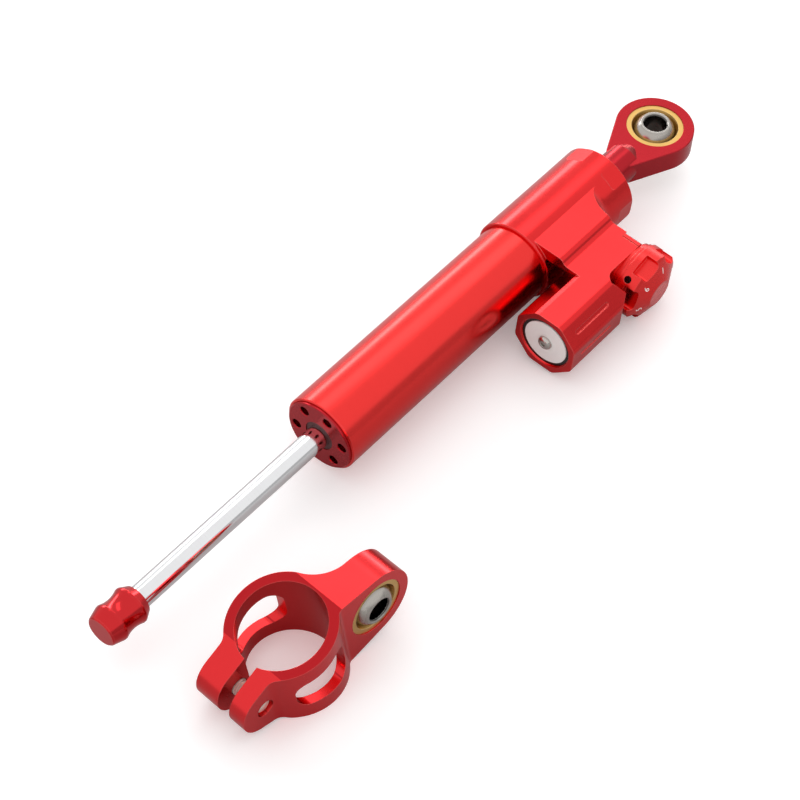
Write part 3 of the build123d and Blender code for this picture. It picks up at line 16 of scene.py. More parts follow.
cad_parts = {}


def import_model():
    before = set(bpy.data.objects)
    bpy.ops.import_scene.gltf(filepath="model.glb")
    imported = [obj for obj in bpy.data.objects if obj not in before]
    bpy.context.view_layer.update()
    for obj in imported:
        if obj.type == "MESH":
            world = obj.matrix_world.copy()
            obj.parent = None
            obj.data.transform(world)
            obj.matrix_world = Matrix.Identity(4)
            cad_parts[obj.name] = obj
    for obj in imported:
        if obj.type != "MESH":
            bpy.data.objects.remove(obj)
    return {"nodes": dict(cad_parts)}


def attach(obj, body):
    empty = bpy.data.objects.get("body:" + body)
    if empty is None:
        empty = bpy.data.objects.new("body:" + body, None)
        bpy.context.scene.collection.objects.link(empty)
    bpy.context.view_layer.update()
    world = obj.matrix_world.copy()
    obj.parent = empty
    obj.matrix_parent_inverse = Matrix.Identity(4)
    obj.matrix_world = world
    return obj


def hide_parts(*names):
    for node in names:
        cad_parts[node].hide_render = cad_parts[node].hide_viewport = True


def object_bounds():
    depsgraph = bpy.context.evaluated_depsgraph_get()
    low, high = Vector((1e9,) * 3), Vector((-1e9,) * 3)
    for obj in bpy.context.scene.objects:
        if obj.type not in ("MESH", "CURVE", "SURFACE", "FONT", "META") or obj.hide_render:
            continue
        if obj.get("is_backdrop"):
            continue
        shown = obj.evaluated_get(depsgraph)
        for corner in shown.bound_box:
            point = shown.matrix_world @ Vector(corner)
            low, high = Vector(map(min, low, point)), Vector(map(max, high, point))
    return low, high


LOG = logging.getLogger("steering_damper")

Colour = tuple[float, float, float]
Place = tuple[float, float, float]
Span = tuple[float, float]
Socket = bpy.types.NodeSocket

MM = 0.001
WHOLE: Span = (0.0, 1.0)
WHITE_LIGHT = (1.0, 1.0, 1.0, 1.0)
QUARTER_TURN = math.pi / 2
BEVEL_SAMPLES = 6


class Body(Enum):
    """The moving bodies that new pieces ride on."""

    ADJUSTER = "adjuster"
    CLAMP = "clamp"


class Pattern(Enum):
    """The way in which a surface was worked."""

    TURNED = "turned"
    BLASTED = "blasted"


# Places on the object

ORIGIN = Vector((0, 0, 0))
ALONG = Vector((1, 0, 0))

BODY_ROLL = math.radians(5.5153)
OUTWARD = Vector((0, -math.cos(BODY_ROLL), -math.sin(BODY_ROLL)))
UPWARD = Vector((0, -math.sin(BODY_ROLL), math.cos(BODY_ROLL)))
KNOB_STATION = -57.9
KNOB_CENTRE = ALONG * KNOB_STATION
POD_DISTANCE = 30.0
POD_CENTRE = OUTWARD * POD_DISTANCE

EYE_ROLL = math.radians(3.5)
EYE_NORMAL = Vector((0, -math.sin(EYE_ROLL), math.cos(EYE_ROLL)))

CLAMP_TURN = math.radians(-4.1)
CLAMP_SLANT = math.radians(7.4)
CLAMP_CENTRE = Vector((-248.8, -45.1, -3.5217))
CLAMP_BALL = Vector((-221.657, -53.412, 0.072))
CLAMP_ALONG = Vector(
    (
        math.cos(CLAMP_TURN) * math.cos(CLAMP_SLANT),
        math.sin(CLAMP_TURN) * math.cos(CLAMP_SLANT),
        math.sin(CLAMP_SLANT),
    )
)
CLAMP_ACROSS = Vector((-math.sin(CLAMP_TURN), math.cos(CLAMP_TURN), 0))
CLAMP_UP = CLAMP_ALONG.cross(CLAMP_ACROSS)
RING_FACE = CLAMP_UP * math.cos(CLAMP_SLANT) - CLAMP_ALONG * math.sin(CLAMP_SLANT)


@dataclass(frozen=True)
class Bench:
    """A place to build at: an origin in millimetres and two of its three directions."""

    origin: Vector
    across: Vector
    up: Vector

    def matrix(self) -> Matrix:
        """Turn the bench's millimetres into the frame's metres.

        Returns:
            The matrix that carries a point of the bench into the frame.
        """
        z = self.up.normalized()
        x = (self.across - z * self.across.dot(z)).normalized()
        y = z.cross(x)
        turn = Matrix((x, y, z)).transposed().to_4x4()
        return Matrix.Translation(self.origin * MM) @ turn @ Matrix.Scale(MM, 4)


# Shader graphs


class Graph:
    """A node tree that is filled by name."""

    def __init__(self, tree: bpy.types.NodeTree) -> None:
        """Take over the node tree of a material, a world or a group, and empty it."""
        self.tree = tree
        tree.nodes.clear()

    def add(self, kind: str, settings: dict | None = None, **values: object) -> bpy.types.Node:
        """Add a node, set it up and feed its inputs.

        Args:
            kind: the node's type, without the ShaderNode prefix.
            settings: properties of the node itself.
            values: inputs by name with underscores for spaces, as a value or another node's socket.

        Returns:
            The new node.
        """
        node = self.tree.nodes.new("ShaderNode" + kind)
        for key, value in (settings or {}).items():
            setattr(node, key, value)
        for key, value in values.items():
            socket = self.socket_of(node, key)
            if isinstance(value, Socket):
                self.tree.links.new(value, socket)
            else:
                socket.default_value = value
        return node

    @staticmethod
    def socket_of(node: bpy.types.Node, key: str) -> Socket:
        """Find a node's input by its name or, as i0, i1 and so on, by its place.

        Args:
            node: the node.
            key: the input's name, with underscores for spaces.

        Returns:
            The input socket.
        """
        if key[0] == "i" and key[1:].isdigit():
            return node.inputs[int(key[1:])]
        return node.inputs[key.replace("_", " ")]

    def math(self, operation: str, first: object, second: object = 0.0) -> Socket:
        """Add one step of arithmetic on values or sockets, and give its result's socket."""
        return self.add("Math", {"operation": operation}, i0=first, i1=second).outputs[0]

    def vector_math(self, operation: str, first: object, second: object) -> bpy.types.NodeOutputs:
        """Add one step of arithmetic on vectors, and give its outputs Vector and Value."""
        return self.add("VectorMath", {"operation": operation}, i0=first, i1=second).outputs

    def weigh(self, share: float, first: Socket, second: Socket) -> Socket:
        """Add up two values, the first by its share and the second by the rest."""
        return self.math("ADD", self.math("MULTIPLY", first, share), self.math("MULTIPLY", second, 1 - share))

    def spread(self, value: object, before: Span | tuple[Socket, Socket], after: Span) -> Socket:
        """Carry a value from one span to another, held at the ends.

        Args:
            value: the value or socket.
            before: the span's start and end before, as values or sockets.
            after: the span's start and end after.

        Returns:
            The result's socket.
        """
        (low, high), (start, end) = before, after
        node = self.add("MapRange", Value=value, From_Min=low, From_Max=high, To_Min=start, To_Max=end)
        return node.outputs[0]

    def mix(self, share: object, first: object, second: object) -> Socket:
        """Mix two colours by the share of the second."""
        pair = [value if isinstance(value, Socket) else (*value, 1.0) for value in (first, second)]
        return self.add("Mix", {"data_type": "RGBA"}, i0=share, i6=pair[0], i7=pair[1]).outputs[2]

    def round_axis(self, place: Socket) -> tuple[Socket, Socket]:
        """Measure a place along the X axis and from it.

        Args:
            place: the place's socket.

        Returns:
            The sockets of the distance along the axis and of the radius.
        """
        parts = self.add("SeparateXYZ", Vector=place).outputs
        squares = [self.math("MULTIPLY", part, part) for part in (parts[1], parts[2])]
        return parts[0], self.math("SQRT", self.math("ADD", *squares))

    def rounded(self, radius: object) -> Socket:
        """Give the normal with its edges rounded by a radius in metres."""
        return self.add("Bevel", {"samples": BEVEL_SAMPLES}, Radius=radius).outputs[0]


class Effect:
    """A shader node group that several finishes share."""

    def __init__(self, name: str, inputs: dict[str, float | None], outputs: list[str]) -> None:
        """Make the group's outside.

        Args:
            name: the group's name.
            inputs: each input's name with its first value, None for a vector.
            outputs: the names of the value outputs.
        """
        self.tree = bpy.data.node_groups.new(name, "ShaderNodeTree")
        self.graph = Graph(self.tree)
        for key, value in inputs.items():
            kind = "NodeSocketVector" if value is None else "NodeSocketFloat"
            socket = self.tree.interface.new_socket(name=key, in_out="INPUT", socket_type=kind)
            if value is not None:
                socket.default_value = value
        for key in outputs:
            self.tree.interface.new_socket(name=key, in_out="OUTPUT", socket_type="NodeSocketFloat")
        self.start = self.tree.nodes.new("NodeGroupInput").outputs
        self.end = self.tree.nodes.new("NodeGroupOutput").inputs

    def give(self, name: str, value: Socket) -> None:
        """Feed one of the group's outputs by its name."""
        self.tree.links.new(value, self.end[name])

    def place(self, graph: Graph, **values: object) -> bpy.types.NodeOutputs:
        """Put the group into a material, its inputs by name with underscores for spaces."""
        return graph.add("Group", {"node_tree": self.tree}, **values).outputs


@dataclass(frozen=True)
class Scales:
    """The scales of the shared effects: features per metre, metres and shares."""

    marks: float = 2200.0
    mark_share: float = 0.6
    bands: float = 160.0
    grains: float = 4200.0
    grain_share: float = 0.5
    clumps: float = 700.0
    patches: float = 60.0
    patch_span: Span = (0.35, 0.7)
    disc_radius: float = 0.005
    disc_line: float = 0.0003
    faced_limit: float = 0.998
    edge_radius: float = 0.0003
    edge_start: float = 0.012
    edge_end: float = 0.12


class Effects:
    """The shared effects: turning marks, grain, smudges, painted edge highlights, a disc that is pale on the
    knob and painted shade in the ball's bore, and painted shade on the clamp ring's top face.
    """

    def __init__(self) -> None:
        """Build each group once."""
        self.scales = Scales()
        self.turning = self.turning_marks()
        self.grain = self.blasted_grain()
        self.smudge = self.handling_smudge()
        self.edge = self.edge_light()
        self.disc = self.marked_disc()
        self.faced = self.faced_ends()

    def turning_marks(self) -> Effect:
        """Fine lathe marks round the X axis of the mapped place.

        Returns:
            The effect, with the outputs Height and Shade.
        """
        sizes = self.scales
        inputs = {"Place": None, "Marks per metre": sizes.marks}
        effect = Effect("turning_marks", inputs, ["Height", "Shade"])
        graph = effect.graph
        station, radius = graph.round_axis(effect.start["Place"])
        where = graph.add("CombineXYZ", X=station, Y=radius).outputs[0]
        flat = {"noise_dimensions": "2D"}
        marks = effect.start["Marks per metre"]
        lines = graph.add("TexNoise", flat, Vector=where, Scale=marks, Detail=2.0, Roughness=0.6).outputs[0]
        broad = graph.add("TexNoise", flat, Vector=where, Scale=sizes.bands, Detail=1.0).outputs[0]
        effect.give("Height", lines)
        effect.give("Shade", graph.weigh(sizes.mark_share, lines, broad))
        return effect

    def blasted_grain(self) -> Effect:
        """The fine even grain that blasting leaves under an anodised film.

        Returns:
            The effect, with the outputs Height and Shade.
        """
        sizes = self.scales
        inputs = {"Place": None, "Grains per metre": sizes.grains}
        effect = Effect("blasted_grain", inputs, ["Height", "Shade"])
        graph = effect.graph
        place = effect.start["Place"]
        grains = effect.start["Grains per metre"]
        fine = graph.add("TexNoise", Vector=place, Scale=grains, Detail=2.0).outputs[0]
        coarse = graph.add("TexNoise", Vector=place, Scale=sizes.clumps, Detail=2.0).outputs[0]
        effect.give("Height", fine)
        effect.give("Shade", graph.weigh(sizes.grain_share, fine, coarse))
        return effect

    def handling_smudge(self) -> Effect:
        """Broad faint patches where the film is a little duller.

        Returns:
            The effect, with the output Share.
        """
        sizes = self.scales
        inputs = {"Place": None, "Patches per metre": sizes.patches}
        effect = Effect("handling_smudge", inputs, ["Share"])
        graph = effect.graph
        place = effect.start["Place"]
        scale = effect.start["Patches per metre"]
        patches = graph.add("TexNoise", Vector=place, Scale=scale, Detail=5.0, Roughness=0.6).outputs[0]
        effect.give("Share", graph.spread(patches, sizes.patch_span, WHOLE))
        return effect

    def marked_disc(self) -> Effect:
        """A disc round the X axis of the mapped place, and the line round it: a pale disc on the knob, and
        painted shade in the bore of the ball.

        Returns:
            The effect, with the outputs Inside and Rim.
        """
        sizes = self.scales
        inputs = {"Place": None, "Radius": sizes.disc_radius, "Line": sizes.disc_line}
        effect = Effect("marked_disc", inputs, ["Inside", "Rim"])
        graph = effect.graph
        radius = graph.round_axis(effect.start["Place"])[1]
        gap = graph.math("SUBTRACT", effect.start["Radius"], radius)
        effect.give("Inside", graph.math("GREATER_THAN", gap, 0.0))
        effect.give("Rim", graph.math("LESS_THAN", graph.math("ABSOLUTE", gap), effect.start["Line"]))
        return effect

    def faced_ends(self) -> Effect:
        """The flat faces that face along an axis: the mask of the painted shade on the clamp ring's top face.

        Returns:
            The effect, with the output Mask.
        """
        effect = Effect("faced_ends", {"Axis": None, "Limit": self.scales.faced_limit}, ["Mask"])
        graph = effect.graph
        plain = graph.add("NewGeometry").outputs["True Normal"]
        square = graph.vector_math("DOT_PRODUCT", plain, effect.start["Axis"])["Value"]
        effect.give("Mask", graph.math("GREATER_THAN", square, effect.start["Limit"]))
        return effect

    def edge_light(self) -> Effect:
        """Where a sharp edge has a small rounding, found from the bevelled normal: the mask of the painted
        highlights along the edges.

        Returns:
            The effect, with the output Mask.
        """
        sizes = self.scales
        inputs = {"Radius": sizes.edge_radius, "Start": sizes.edge_start, "End": sizes.edge_end}
        effect = Effect("edge_light", inputs, ["Mask"])
        graph = effect.graph
        plain = graph.add("NewGeometry").outputs["Normal"]
        turn = graph.vector_math("DOT_PRODUCT", graph.rounded(effect.start["Radius"]), plain)["Value"]
        bend = graph.math("SUBTRACT", 1.0, turn)
        effect.give("Mask", graph.spread(bend, (effect.start["Start"], effect.start["End"]), WHOLE))
        return effect


# Finishes

SHADE_SPAN: Span = (0.3, 0.7)


@dataclass(frozen=True)
class Finish:
    """One surface finish of the damper, with its constants in metres and shares."""

    name: str
    colour: Colour
    pattern: Pattern = Pattern.TURNED
    metallic: float = 1.0
    roughness: float = 0.3
    roughness_spread: float = 0.02
    shade_spread: float = 0.012
    bump: float = 0.006
    bump_depth: float = 0.00001
    marks: float = 2200.0
    grains: float = 3200.0
    edge_radius: float = 0.00025
    # Painted highlight: a paler colour laid along the edges, standing in for the light that catches them.
    edge_colour: Colour = (1.0, 0.3, 0.3)
    edge_share: float = 0.5
    smudge: float = 0.04
    disc_radius: float = 0.0
    disc_line: float = 0.0003
    disc_colour: Colour = (1.0, 1.0, 1.0)
    disc_share: float = 0.35
    faced_colour: Colour | None = None
    faced_limit: float = 0.998

    def material(self, effects: Effects, centre: Vector, axis: Vector) -> bpy.types.Material:
        """Make the finish as a material.

        Args:
            effects: the shared groups.
            centre: the place in metres that the pattern is centred on.
            axis: the piece's own axis.

        Returns:
            The material.
        """
        made = bpy.data.materials.new(self.name)
        made.use_nodes = True
        graph = Graph(made.node_tree)
        place = graph.add("TexCoord").outputs["Object"]
        moved = graph.vector_math("SUBTRACT", place, tuple(centre))["Vector"]
        turn = tuple(axis.rotation_difference(ALONG).to_euler())
        place = graph.add("Mapping", Vector=moved, Rotation=turn).outputs[0]
        height, shade = self.worked(graph, effects, place)
        bump = graph.add(
            "Bump",
            Strength=self.bump,
            Distance=self.bump_depth,
            Height=height,
            Normal=graph.rounded(self.edge_radius),
        )
        shader = graph.add(
            "BsdfPrincipled",
            Base_Color=self.coloured(graph, effects, place, shade),
            Metallic=self.metallic,
            Roughness=self.dulled(graph, effects, place, shade),
            Normal=bump.outputs[0],
        )
        graph.add("OutputMaterial", Surface=shader.outputs[0])
        return made

    def worked(self, graph: Graph, effects: Effects, place: Socket) -> tuple[Socket, Socket]:
        """Place the marks that the working left.

        Args:
            graph: the material's graph.
            effects: the shared groups.
            place: the mapped place.

        Returns:
            The height and the shade.
        """
        if self.pattern is Pattern.TURNED:
            marks = effects.turning.place(graph, Place=place, Marks_per_metre=self.marks)
        else:
            marks = effects.grain.place(graph, Place=place, Grains_per_metre=self.grains)
        return marks["Height"], marks["Shade"]

    def coloured(self, graph: Graph, effects: Effects, place: Socket, shade: Socket) -> Socket:
        """Colour the surface: its shades, its disc, the painted shade on its top face and the painted
        highlights on its edges.

        Args:
            graph: the material's graph.
            effects: the shared groups.
            place: the mapped place.
            shade: the shade of the marks.

        Returns:
            The colour.
        """
        dark = tuple(part * (1 - self.shade_spread) for part in self.colour)
        light = tuple(min(1.0, part * (1 + self.shade_spread)) for part in self.colour)
        body = graph.mix(graph.spread(shade, SHADE_SPAN, WHOLE), dark, light)
        if self.disc_radius:
            body = self.with_disc(graph, effects, place, body)
        # Painted shade: the faces that face along RING_FACE are coloured darker than the rest.
        if self.faced_colour:
            faced = effects.faced.place(graph, Axis=tuple(RING_FACE), Limit=self.faced_limit)["Mask"]
            body = graph.mix(faced, body, self.faced_colour)
        # Painted highlight: the paler edge colour is mixed in along the edges.
        edge = effects.edge.place(graph, Radius=self.edge_radius)["Mask"]
        return graph.mix(graph.math("MULTIPLY", edge, self.edge_share), body, self.edge_colour)

    def with_disc(self, graph: Graph, effects: Effects, place: Socket, body: Socket) -> Socket:
        """Colour the disc round the axis and draw the line round it: the knob's disc is lightened, and the
        ball's bore is darkened as painted shade.

        Args:
            graph: the material's graph.
            effects: the shared groups.
            place: the mapped place.
            body: the colour before.

        Returns:
            The colour with the disc.
        """
        disc = effects.disc.place(graph, Place=place, Radius=self.disc_radius, Line=self.disc_line)
        darker = tuple(part * (1 - self.disc_share) for part in self.colour)
        body = graph.mix(graph.math("MULTIPLY", disc["Inside"], self.disc_share), body, self.disc_colour)
        return graph.mix(graph.math("MULTIPLY", disc["Rim"], self.disc_share), body, darker)

    def dulled(self, graph: Graph, effects: Effects, place: Socket, shade: Socket) -> Socket:
        """Vary the roughness with the marks and the smudges.

        Args:
            graph: the material's graph.
            effects: the shared groups.
            place: the mapped place.
            shade: the shade of the marks.

        Returns:
            The roughness.
        """
        after = (self.roughness - self.roughness_spread, self.roughness + self.roughness_spread)
        smudged = graph.math("MULTIPLY", effects.smudge.place(graph, Place=place)["Share"], self.smudge)
        return graph.math("ADD", graph.spread(shade, SHADE_SPAN, after), smudged)


RED: Colour = (0.85, 0.045, 0.042)
HEAD_RED: Colour = (0.74, 0.031, 0.033)
CLAMP_RED: Colour = (0.76, 0.036, 0.040)
# Painted shade on the clamp ring's top face.
TOP_FACE_SHADE_RED: Colour = (0.48, 0.018, 0.023)
DEEP_RED: Colour = (0.44, 0.020, 0.028)
CAP_RED: Colour = (0.60, 0.028, 0.032)
KNOB_RED: Colour = (0.84, 0.044, 0.043)
# The edge colours below are painted highlights along the edges.
RED_HIGHLIGHT_PAINT: Colour = (1.0, 0.24, 0.22)
DEEP_RED_HIGHLIGHT_PAINT: Colour = (0.95, 0.12, 0.13)
STEEL_HIGHLIGHT_PAINT: Colour = (0.9, 0.88, 0.85)
GREY_HIGHLIGHT_PAINT: Colour = (0.2, 0.2, 0.2)

ALL_FINISHES = (
    Finish("red_tube", RED, roughness=0.20, edge_colour=RED_HIGHLIGHT_PAINT),
    Finish(
        "red_milled",
        HEAD_RED,
        Pattern.BLASTED,
        roughness=0.20,
        edge_colour=RED_HIGHLIGHT_PAINT,
        edge_radius=0.0004,
        edge_share=0.6,
    ),
    Finish(
        "red_deep", DEEP_RED, Pattern.BLASTED, roughness=0.24, edge_colour=DEEP_RED_HIGHLIGHT_PAINT, edge_radius=0.00012
    ),
    Finish(
        "red_clamp", CLAMP_RED, Pattern.BLASTED, roughness=0.23, edge_colour=RED_HIGHLIGHT_PAINT, faced_colour=TOP_FACE_SHADE_RED
    ),
    Finish("red_cap", CAP_RED, roughness=0.14, edge_colour=RED_HIGHLIGHT_PAINT, edge_radius=0.0004, edge_share=0.9),
    Finish(
        "red_knob",
        KNOB_RED,
        Pattern.BLASTED,
        roughness=0.26,
        edge_colour=RED_HIGHLIGHT_PAINT,
        disc_radius=0.0049,
        disc_colour=(0.92, 0.38, 0.38),
    ),
    Finish("chrome", (0.80, 0.80, 0.81), roughness=0.08, edge_share=0.0),
    Finish("plug", (0.88, 0.86, 0.84), metallic=0.2, roughness=0.30, bump=0.05, edge_colour=(1.0, 1.0, 1.0)),
    # The dark disc is painted shade in the ball's bore, with a darker line round it.
    Finish(
        "ball",
        (0.38, 0.355, 0.325),
        roughness=0.20,
        roughness_spread=0.08,
        shade_spread=0.25,
        marks=260.0,
        edge_colour=STEEL_HIGHLIGHT_PAINT,
        disc_radius=0.00405,
        disc_colour=(0.15, 0.12, 0.09),
        disc_share=0.85,
    ),
    Finish("steel", (0.50, 0.47, 0.44), roughness=0.18, edge_colour=STEEL_HIGHLIGHT_PAINT),
    Finish("zinc", (0.80, 0.74, 0.66), metallic=0.7, roughness=0.30, edge_colour=STEEL_HIGHLIGHT_PAINT),
    Finish("brass", (0.66, 0.41, 0.13), roughness=0.28, edge_colour=(1.0, 0.86, 0.55)),
    Finish("bronze", (0.55, 0.36, 0.20), roughness=0.35, edge_colour=(0.9, 0.7, 0.4)),
    Finish(
        "dark", (0.028, 0.026, 0.026), Pattern.BLASTED, metallic=0.4, roughness=0.4, edge_colour=GREY_HIGHLIGHT_PAINT
    ),
    Finish(
        "rubber",
        (0.018, 0.018, 0.018),
        Pattern.BLASTED,
        metallic=0.0,
        roughness=0.5,
        edge_colour=(0.06, 0.06, 0.06),
    ),
    Finish(
        "seal",
        (0.075, 0.010, 0.011),
        Pattern.BLASTED,
        metallic=0.0,
        roughness=0.5,
        edge_colour=(0.2, 0.03, 0.03),
    ),
    Finish("band", (0.10, 0.09, 0.08), Pattern.BLASTED, metallic=0.0, roughness=0.5, edge_colour=GREY_HIGHLIGHT_PAINT),
    Finish("figures", (0.90, 0.80, 0.78), Pattern.BLASTED, metallic=0.0, roughness=0.5, edge_share=0.0),
)
FINISHES = {finish.name: finish for finish in ALL_FINISHES}


# Modelling by operators


def clear_selection() -> None:
    """Leave edit mode and deselect everything."""
    if bpy.context.object and bpy.context.object.mode != "OBJECT":
        bpy.ops.object.mode_set(mode="OBJECT")
    bpy.ops.object.select_all(action="DESELECT")


def only(piece: bpy.types.Object) -> None:
    """Select one object alone and make it active.

    Args:
        piece: the object.
    """
    clear_selection()
    piece.select_set(True)
    bpy.context.view_layer.objects.active = piece


def shape_with(piece: bpy.types.Object, kind: str, **settings: object) -> None:
    """Give a piece a modifier and apply it.

    Args:
        piece: the piece.
        kind: the modifier's type.
        settings: the modifier's properties.
    """
    only(piece)
    modifier = piece.modifiers.new(kind.lower(), kind)
    for key, value in settings.items():
        setattr(modifier, key, value)
    bpy.ops.object.modifier_apply(modifier=modifier.name)


def mend(piece: bpy.types.Object, merge: float) -> None:
    """Merge doubles, fill open ends and point the faces outwards.

    Args:
        piece: the piece.
        merge: the merging distance in the piece's own units.
    """
    only(piece)
    bpy.ops.object.mode_set(mode="EDIT")
    bpy.ops.mesh.select_all(action="SELECT")
    bpy.ops.mesh.remove_doubles(threshold=merge)
    bpy.ops.mesh.select_all(action="DESELECT")
    bpy.ops.mesh.select_mode(type="EDGE")
    bpy.ops.mesh.select_non_manifold(
        use_wire=False, use_multi_face=False, use_non_contiguous=False, use_verts=False
    )
    bpy.ops.mesh.fill_holes(sides=0)
    bpy.ops.mesh.select_all(action="SELECT")
    bpy.ops.mesh.normals_make_consistent(inside=False)
    bpy.ops.object.mode_set(mode="OBJECT")


def join(pieces: list[bpy.types.Object], name: str) -> bpy.types.Object:
    """Join several objects into one.

    Args:
        pieces: the objects.
        name: the joined piece's name.

    Returns:
        The joined piece.
    """
    clear_selection()
    for piece in pieces:
        piece.select_set(True)
    bpy.context.view_layer.objects.active = pieces[0]
    bpy.ops.object.join()
    pieces[0].name = name
    pieces[0].data.name = name
    return pieces[0]


def settle(piece: bpy.types.Object, bench: Bench) -> None:
    """Carry a piece from its bench into the frame, with its place in its mesh.

    Args:
        piece: the piece, modelled in the bench's millimetres.
        bench: the bench.
    """
    only(piece)
    bpy.ops.object.transform_apply(location=True, rotation=True, scale=True)
    piece.matrix_world = bench.matrix()
    bpy.ops.object.transform_apply(location=True, rotation=True, scale=True)


def dress_piece(piece: bpy.types.Object, material: bpy.types.Material) -> None:
    """Give a new piece one material."""
    piece.data.materials.clear()
    piece.data.materials.append(material)


# Sub-assemblies


@dataclass
class KnobFigures:
    """Plain numbers on the knob's conical face, one on each land between the pockets."""

    apex_distance: float = 45.4
    apex_radius: float = 5.3
    shoulder_distance: float = 42.1
    shoulder_radius: float = 12.2
    figure_radius: float = 8.9
    font_size: float = 3.22
    figure_proud: float = 0.05
    figure_lift: float = 0.03
    curve_steps: int = 4
    first_angle: float = 76.0
    count: int = 6

    def bench(self, angle: float) -> Bench:
        """Find the place of one figure.

        Args:
            angle: the figure's angle round the knob in degrees.

        Returns:
            A bench that lies on the cone, its y pointing to the apex.
        """
        turn = math.radians(angle)
        radial = ALONG * math.cos(turn) + UPWARD * math.sin(turn)
        fall = (self.apex_distance - self.shoulder_distance) / (self.shoulder_radius - self.apex_radius)
        distance = self.apex_distance - fall * (self.figure_radius - self.apex_radius)
        normal = (OUTWARD + radial * fall).normalized()
        origin = KNOB_CENTRE + OUTWARD * distance + radial * self.figure_radius
        return Bench(origin + normal * self.figure_lift, radial.cross(normal), normal)

    def figure(self, number: int) -> bpy.types.Object:
        """Write one number as a mesh.

        Args:
            number: the number.

        Returns:
            The figure, on its bench.
        """
        clear_selection()
        bpy.ops.object.text_add(location=(0, 0, 0))
        figure = bpy.context.object
        figure.data.body = str(number)
        figure.data.size = self.font_size
        figure.data.extrude = self.figure_proud
        figure.data.align_x = "CENTER"
        figure.data.align_y = "CENTER"
        figure.data.resolution_u = self.curve_steps
        bpy.ops.object.convert(target="MESH")
        return figure

    def build(self, material: bpy.types.Material) -> bpy.types.Object:
        """Make the figures as one piece.

        Args:
            material: the pale print.

        Returns:
            The piece.
        """
        figures = []
        for index in range(self.count):
            figure = self.figure(index + 1)
            settle(figure, self.bench(self.first_angle - 360 * index / self.count))
            figures.append(figure)
        piece = join(figures, "knob_figures")
        dress_piece(piece, material)
        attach(piece, Body.ADJUSTER.value)
        return piece


@dataclass
class PinchScrew:
    """The clamp's pinch screw with its thread, hex socket and rounded head."""

    screw_distance: float = 18.8
    far_offset: float = 10.9
    near_offset: float = 9.9
    head_sink: float = 0.3
    head_length: float = 5.4
    head_radius: float = 4.9
    head_sides: int = 64
    crest_radius: float = 2.9
    root_radius: float = 2.35
    shank_sides: int = 48
    pitch: float = 1.0
    thread_start: float = 0.6
    thread_overlap: float = 0.12
    thread_steps: int = 32
    end_recess: float = 1.0
    socket: float = 2.5
    socket_sides: int = 6
    socket_depth: float = 3.0
    edge: float = 0.35
    edge_angle: float = 40.0
    smooth_angle: float = 30.0
    merge: float = 0.001

    def on_axis(self) -> Vector:
        """Find a point of the screw's axis, in millimetres."""
        return CLAMP_CENTRE - CLAMP_ALONG * self.screw_distance

    def bench(self) -> Bench:
        """Stand at the head's top, looking along the screw."""
        top = self.on_axis() + CLAMP_ACROSS * (self.far_offset - self.head_sink)
        return Bench(top, CLAMP_ALONG, CLAMP_ACROSS * -1)

    def shank_length(self) -> float:
        """Measure the shank from under the head to the tip."""
        return self.far_offset - self.head_sink + self.near_offset - self.end_recess - self.head_length

    @staticmethod
    def bar(sides: int, radius: float, start: float, end: float) -> bpy.types.Object:
        """Stand a bar on the screw's axis.

        Args:
            sides: the number of its sides.
            radius: its radius.
            start: its start below the head's top.
            end: its end below the head's top.

        Returns:
            The bar.
        """
        clear_selection()
        middle = (start + end) / 2
        bpy.ops.mesh.primitive_cylinder_add(
            vertices=sides, radius=radius, depth=end - start, location=(0, 0, middle)
        )
        return bpy.context.object

    def soften(self, piece: bpy.types.Object, segments: int) -> None:
        """Round the piece's sharp edges."""
        limit = math.radians(self.edge_angle)
        shape_with(
            piece, "BEVEL", width=self.edge, segments=segments, limit_method="ANGLE", angle_limit=limit
        )

    def head(self) -> bpy.types.Object:
        """Turn the head and sink its socket.

        Returns:
            The head.
        """
        head = self.bar(self.head_sides, self.head_radius, 0.0, self.head_length)
        corner = self.socket / math.cos(math.pi / self.socket_sides)
        above = self.socket_depth + 2 * self.edge
        cutter = self.bar(self.socket_sides, corner, -above, self.socket_depth)
        shape_with(head, "BOOLEAN", operation="DIFFERENCE", object=cutter, solver="EXACT")
        bpy.data.objects.remove(cutter)
        self.soften(head, segments=3)
        return head

    def shank(self) -> bpy.types.Object:
        """Turn the core under the thread.

        Returns:
            The core.
        """
        tip = self.head_length + self.shank_length()
        core = self.bar(self.shank_sides, self.root_radius, self.head_length, tip)
        self.soften(core, segments=2)
        return core

    def thread(self) -> bpy.types.Object:
        """Wind the thread as one coil of a blunt triangular section.

        Returns:
            The thread.
        """
        clear_selection()
        depth = (self.crest_radius - self.root_radius) / 2
        middle = (self.root_radius + self.crest_radius) / 2
        bpy.ops.mesh.primitive_circle_add(
            vertices=4,
            radius=depth + self.thread_overlap,
            location=(middle - self.thread_overlap, 0, self.head_length + self.pitch * self.thread_start),
            rotation=(QUARTER_TURN, 0, 0),
        )
        coil = bpy.context.object
        bpy.ops.object.transform_apply(location=True, rotation=True, scale=True)
        shape_with(
            coil,
            "SCREW",
            axis="Z",
            steps=self.thread_steps,
            render_steps=self.thread_steps,
            iterations=int(self.shank_length() / self.pitch) - 1,
            screw_offset=self.pitch,
            use_merge_vertices=False,
        )
        return coil

    def build(self, material: bpy.types.Material) -> bpy.types.Object:
        """Make the screw.

        Args:
            material: the zinc-plated steel.

        Returns:
            The piece.
        """
        parts = [self.head(), self.shank(), self.thread()]
        for part in parts:
            mend(part, self.merge)
            only(part)
            bpy.ops.object.shade_smooth_by_angle(angle=math.radians(self.smooth_angle))
        piece = join(parts, "clamp_screw_threaded")
        settle(piece, self.bench())
        dress_piece(piece, material)
        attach(piece, Body.CLAMP.value)
        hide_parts("clamp_screw")
        return piece


# The studio


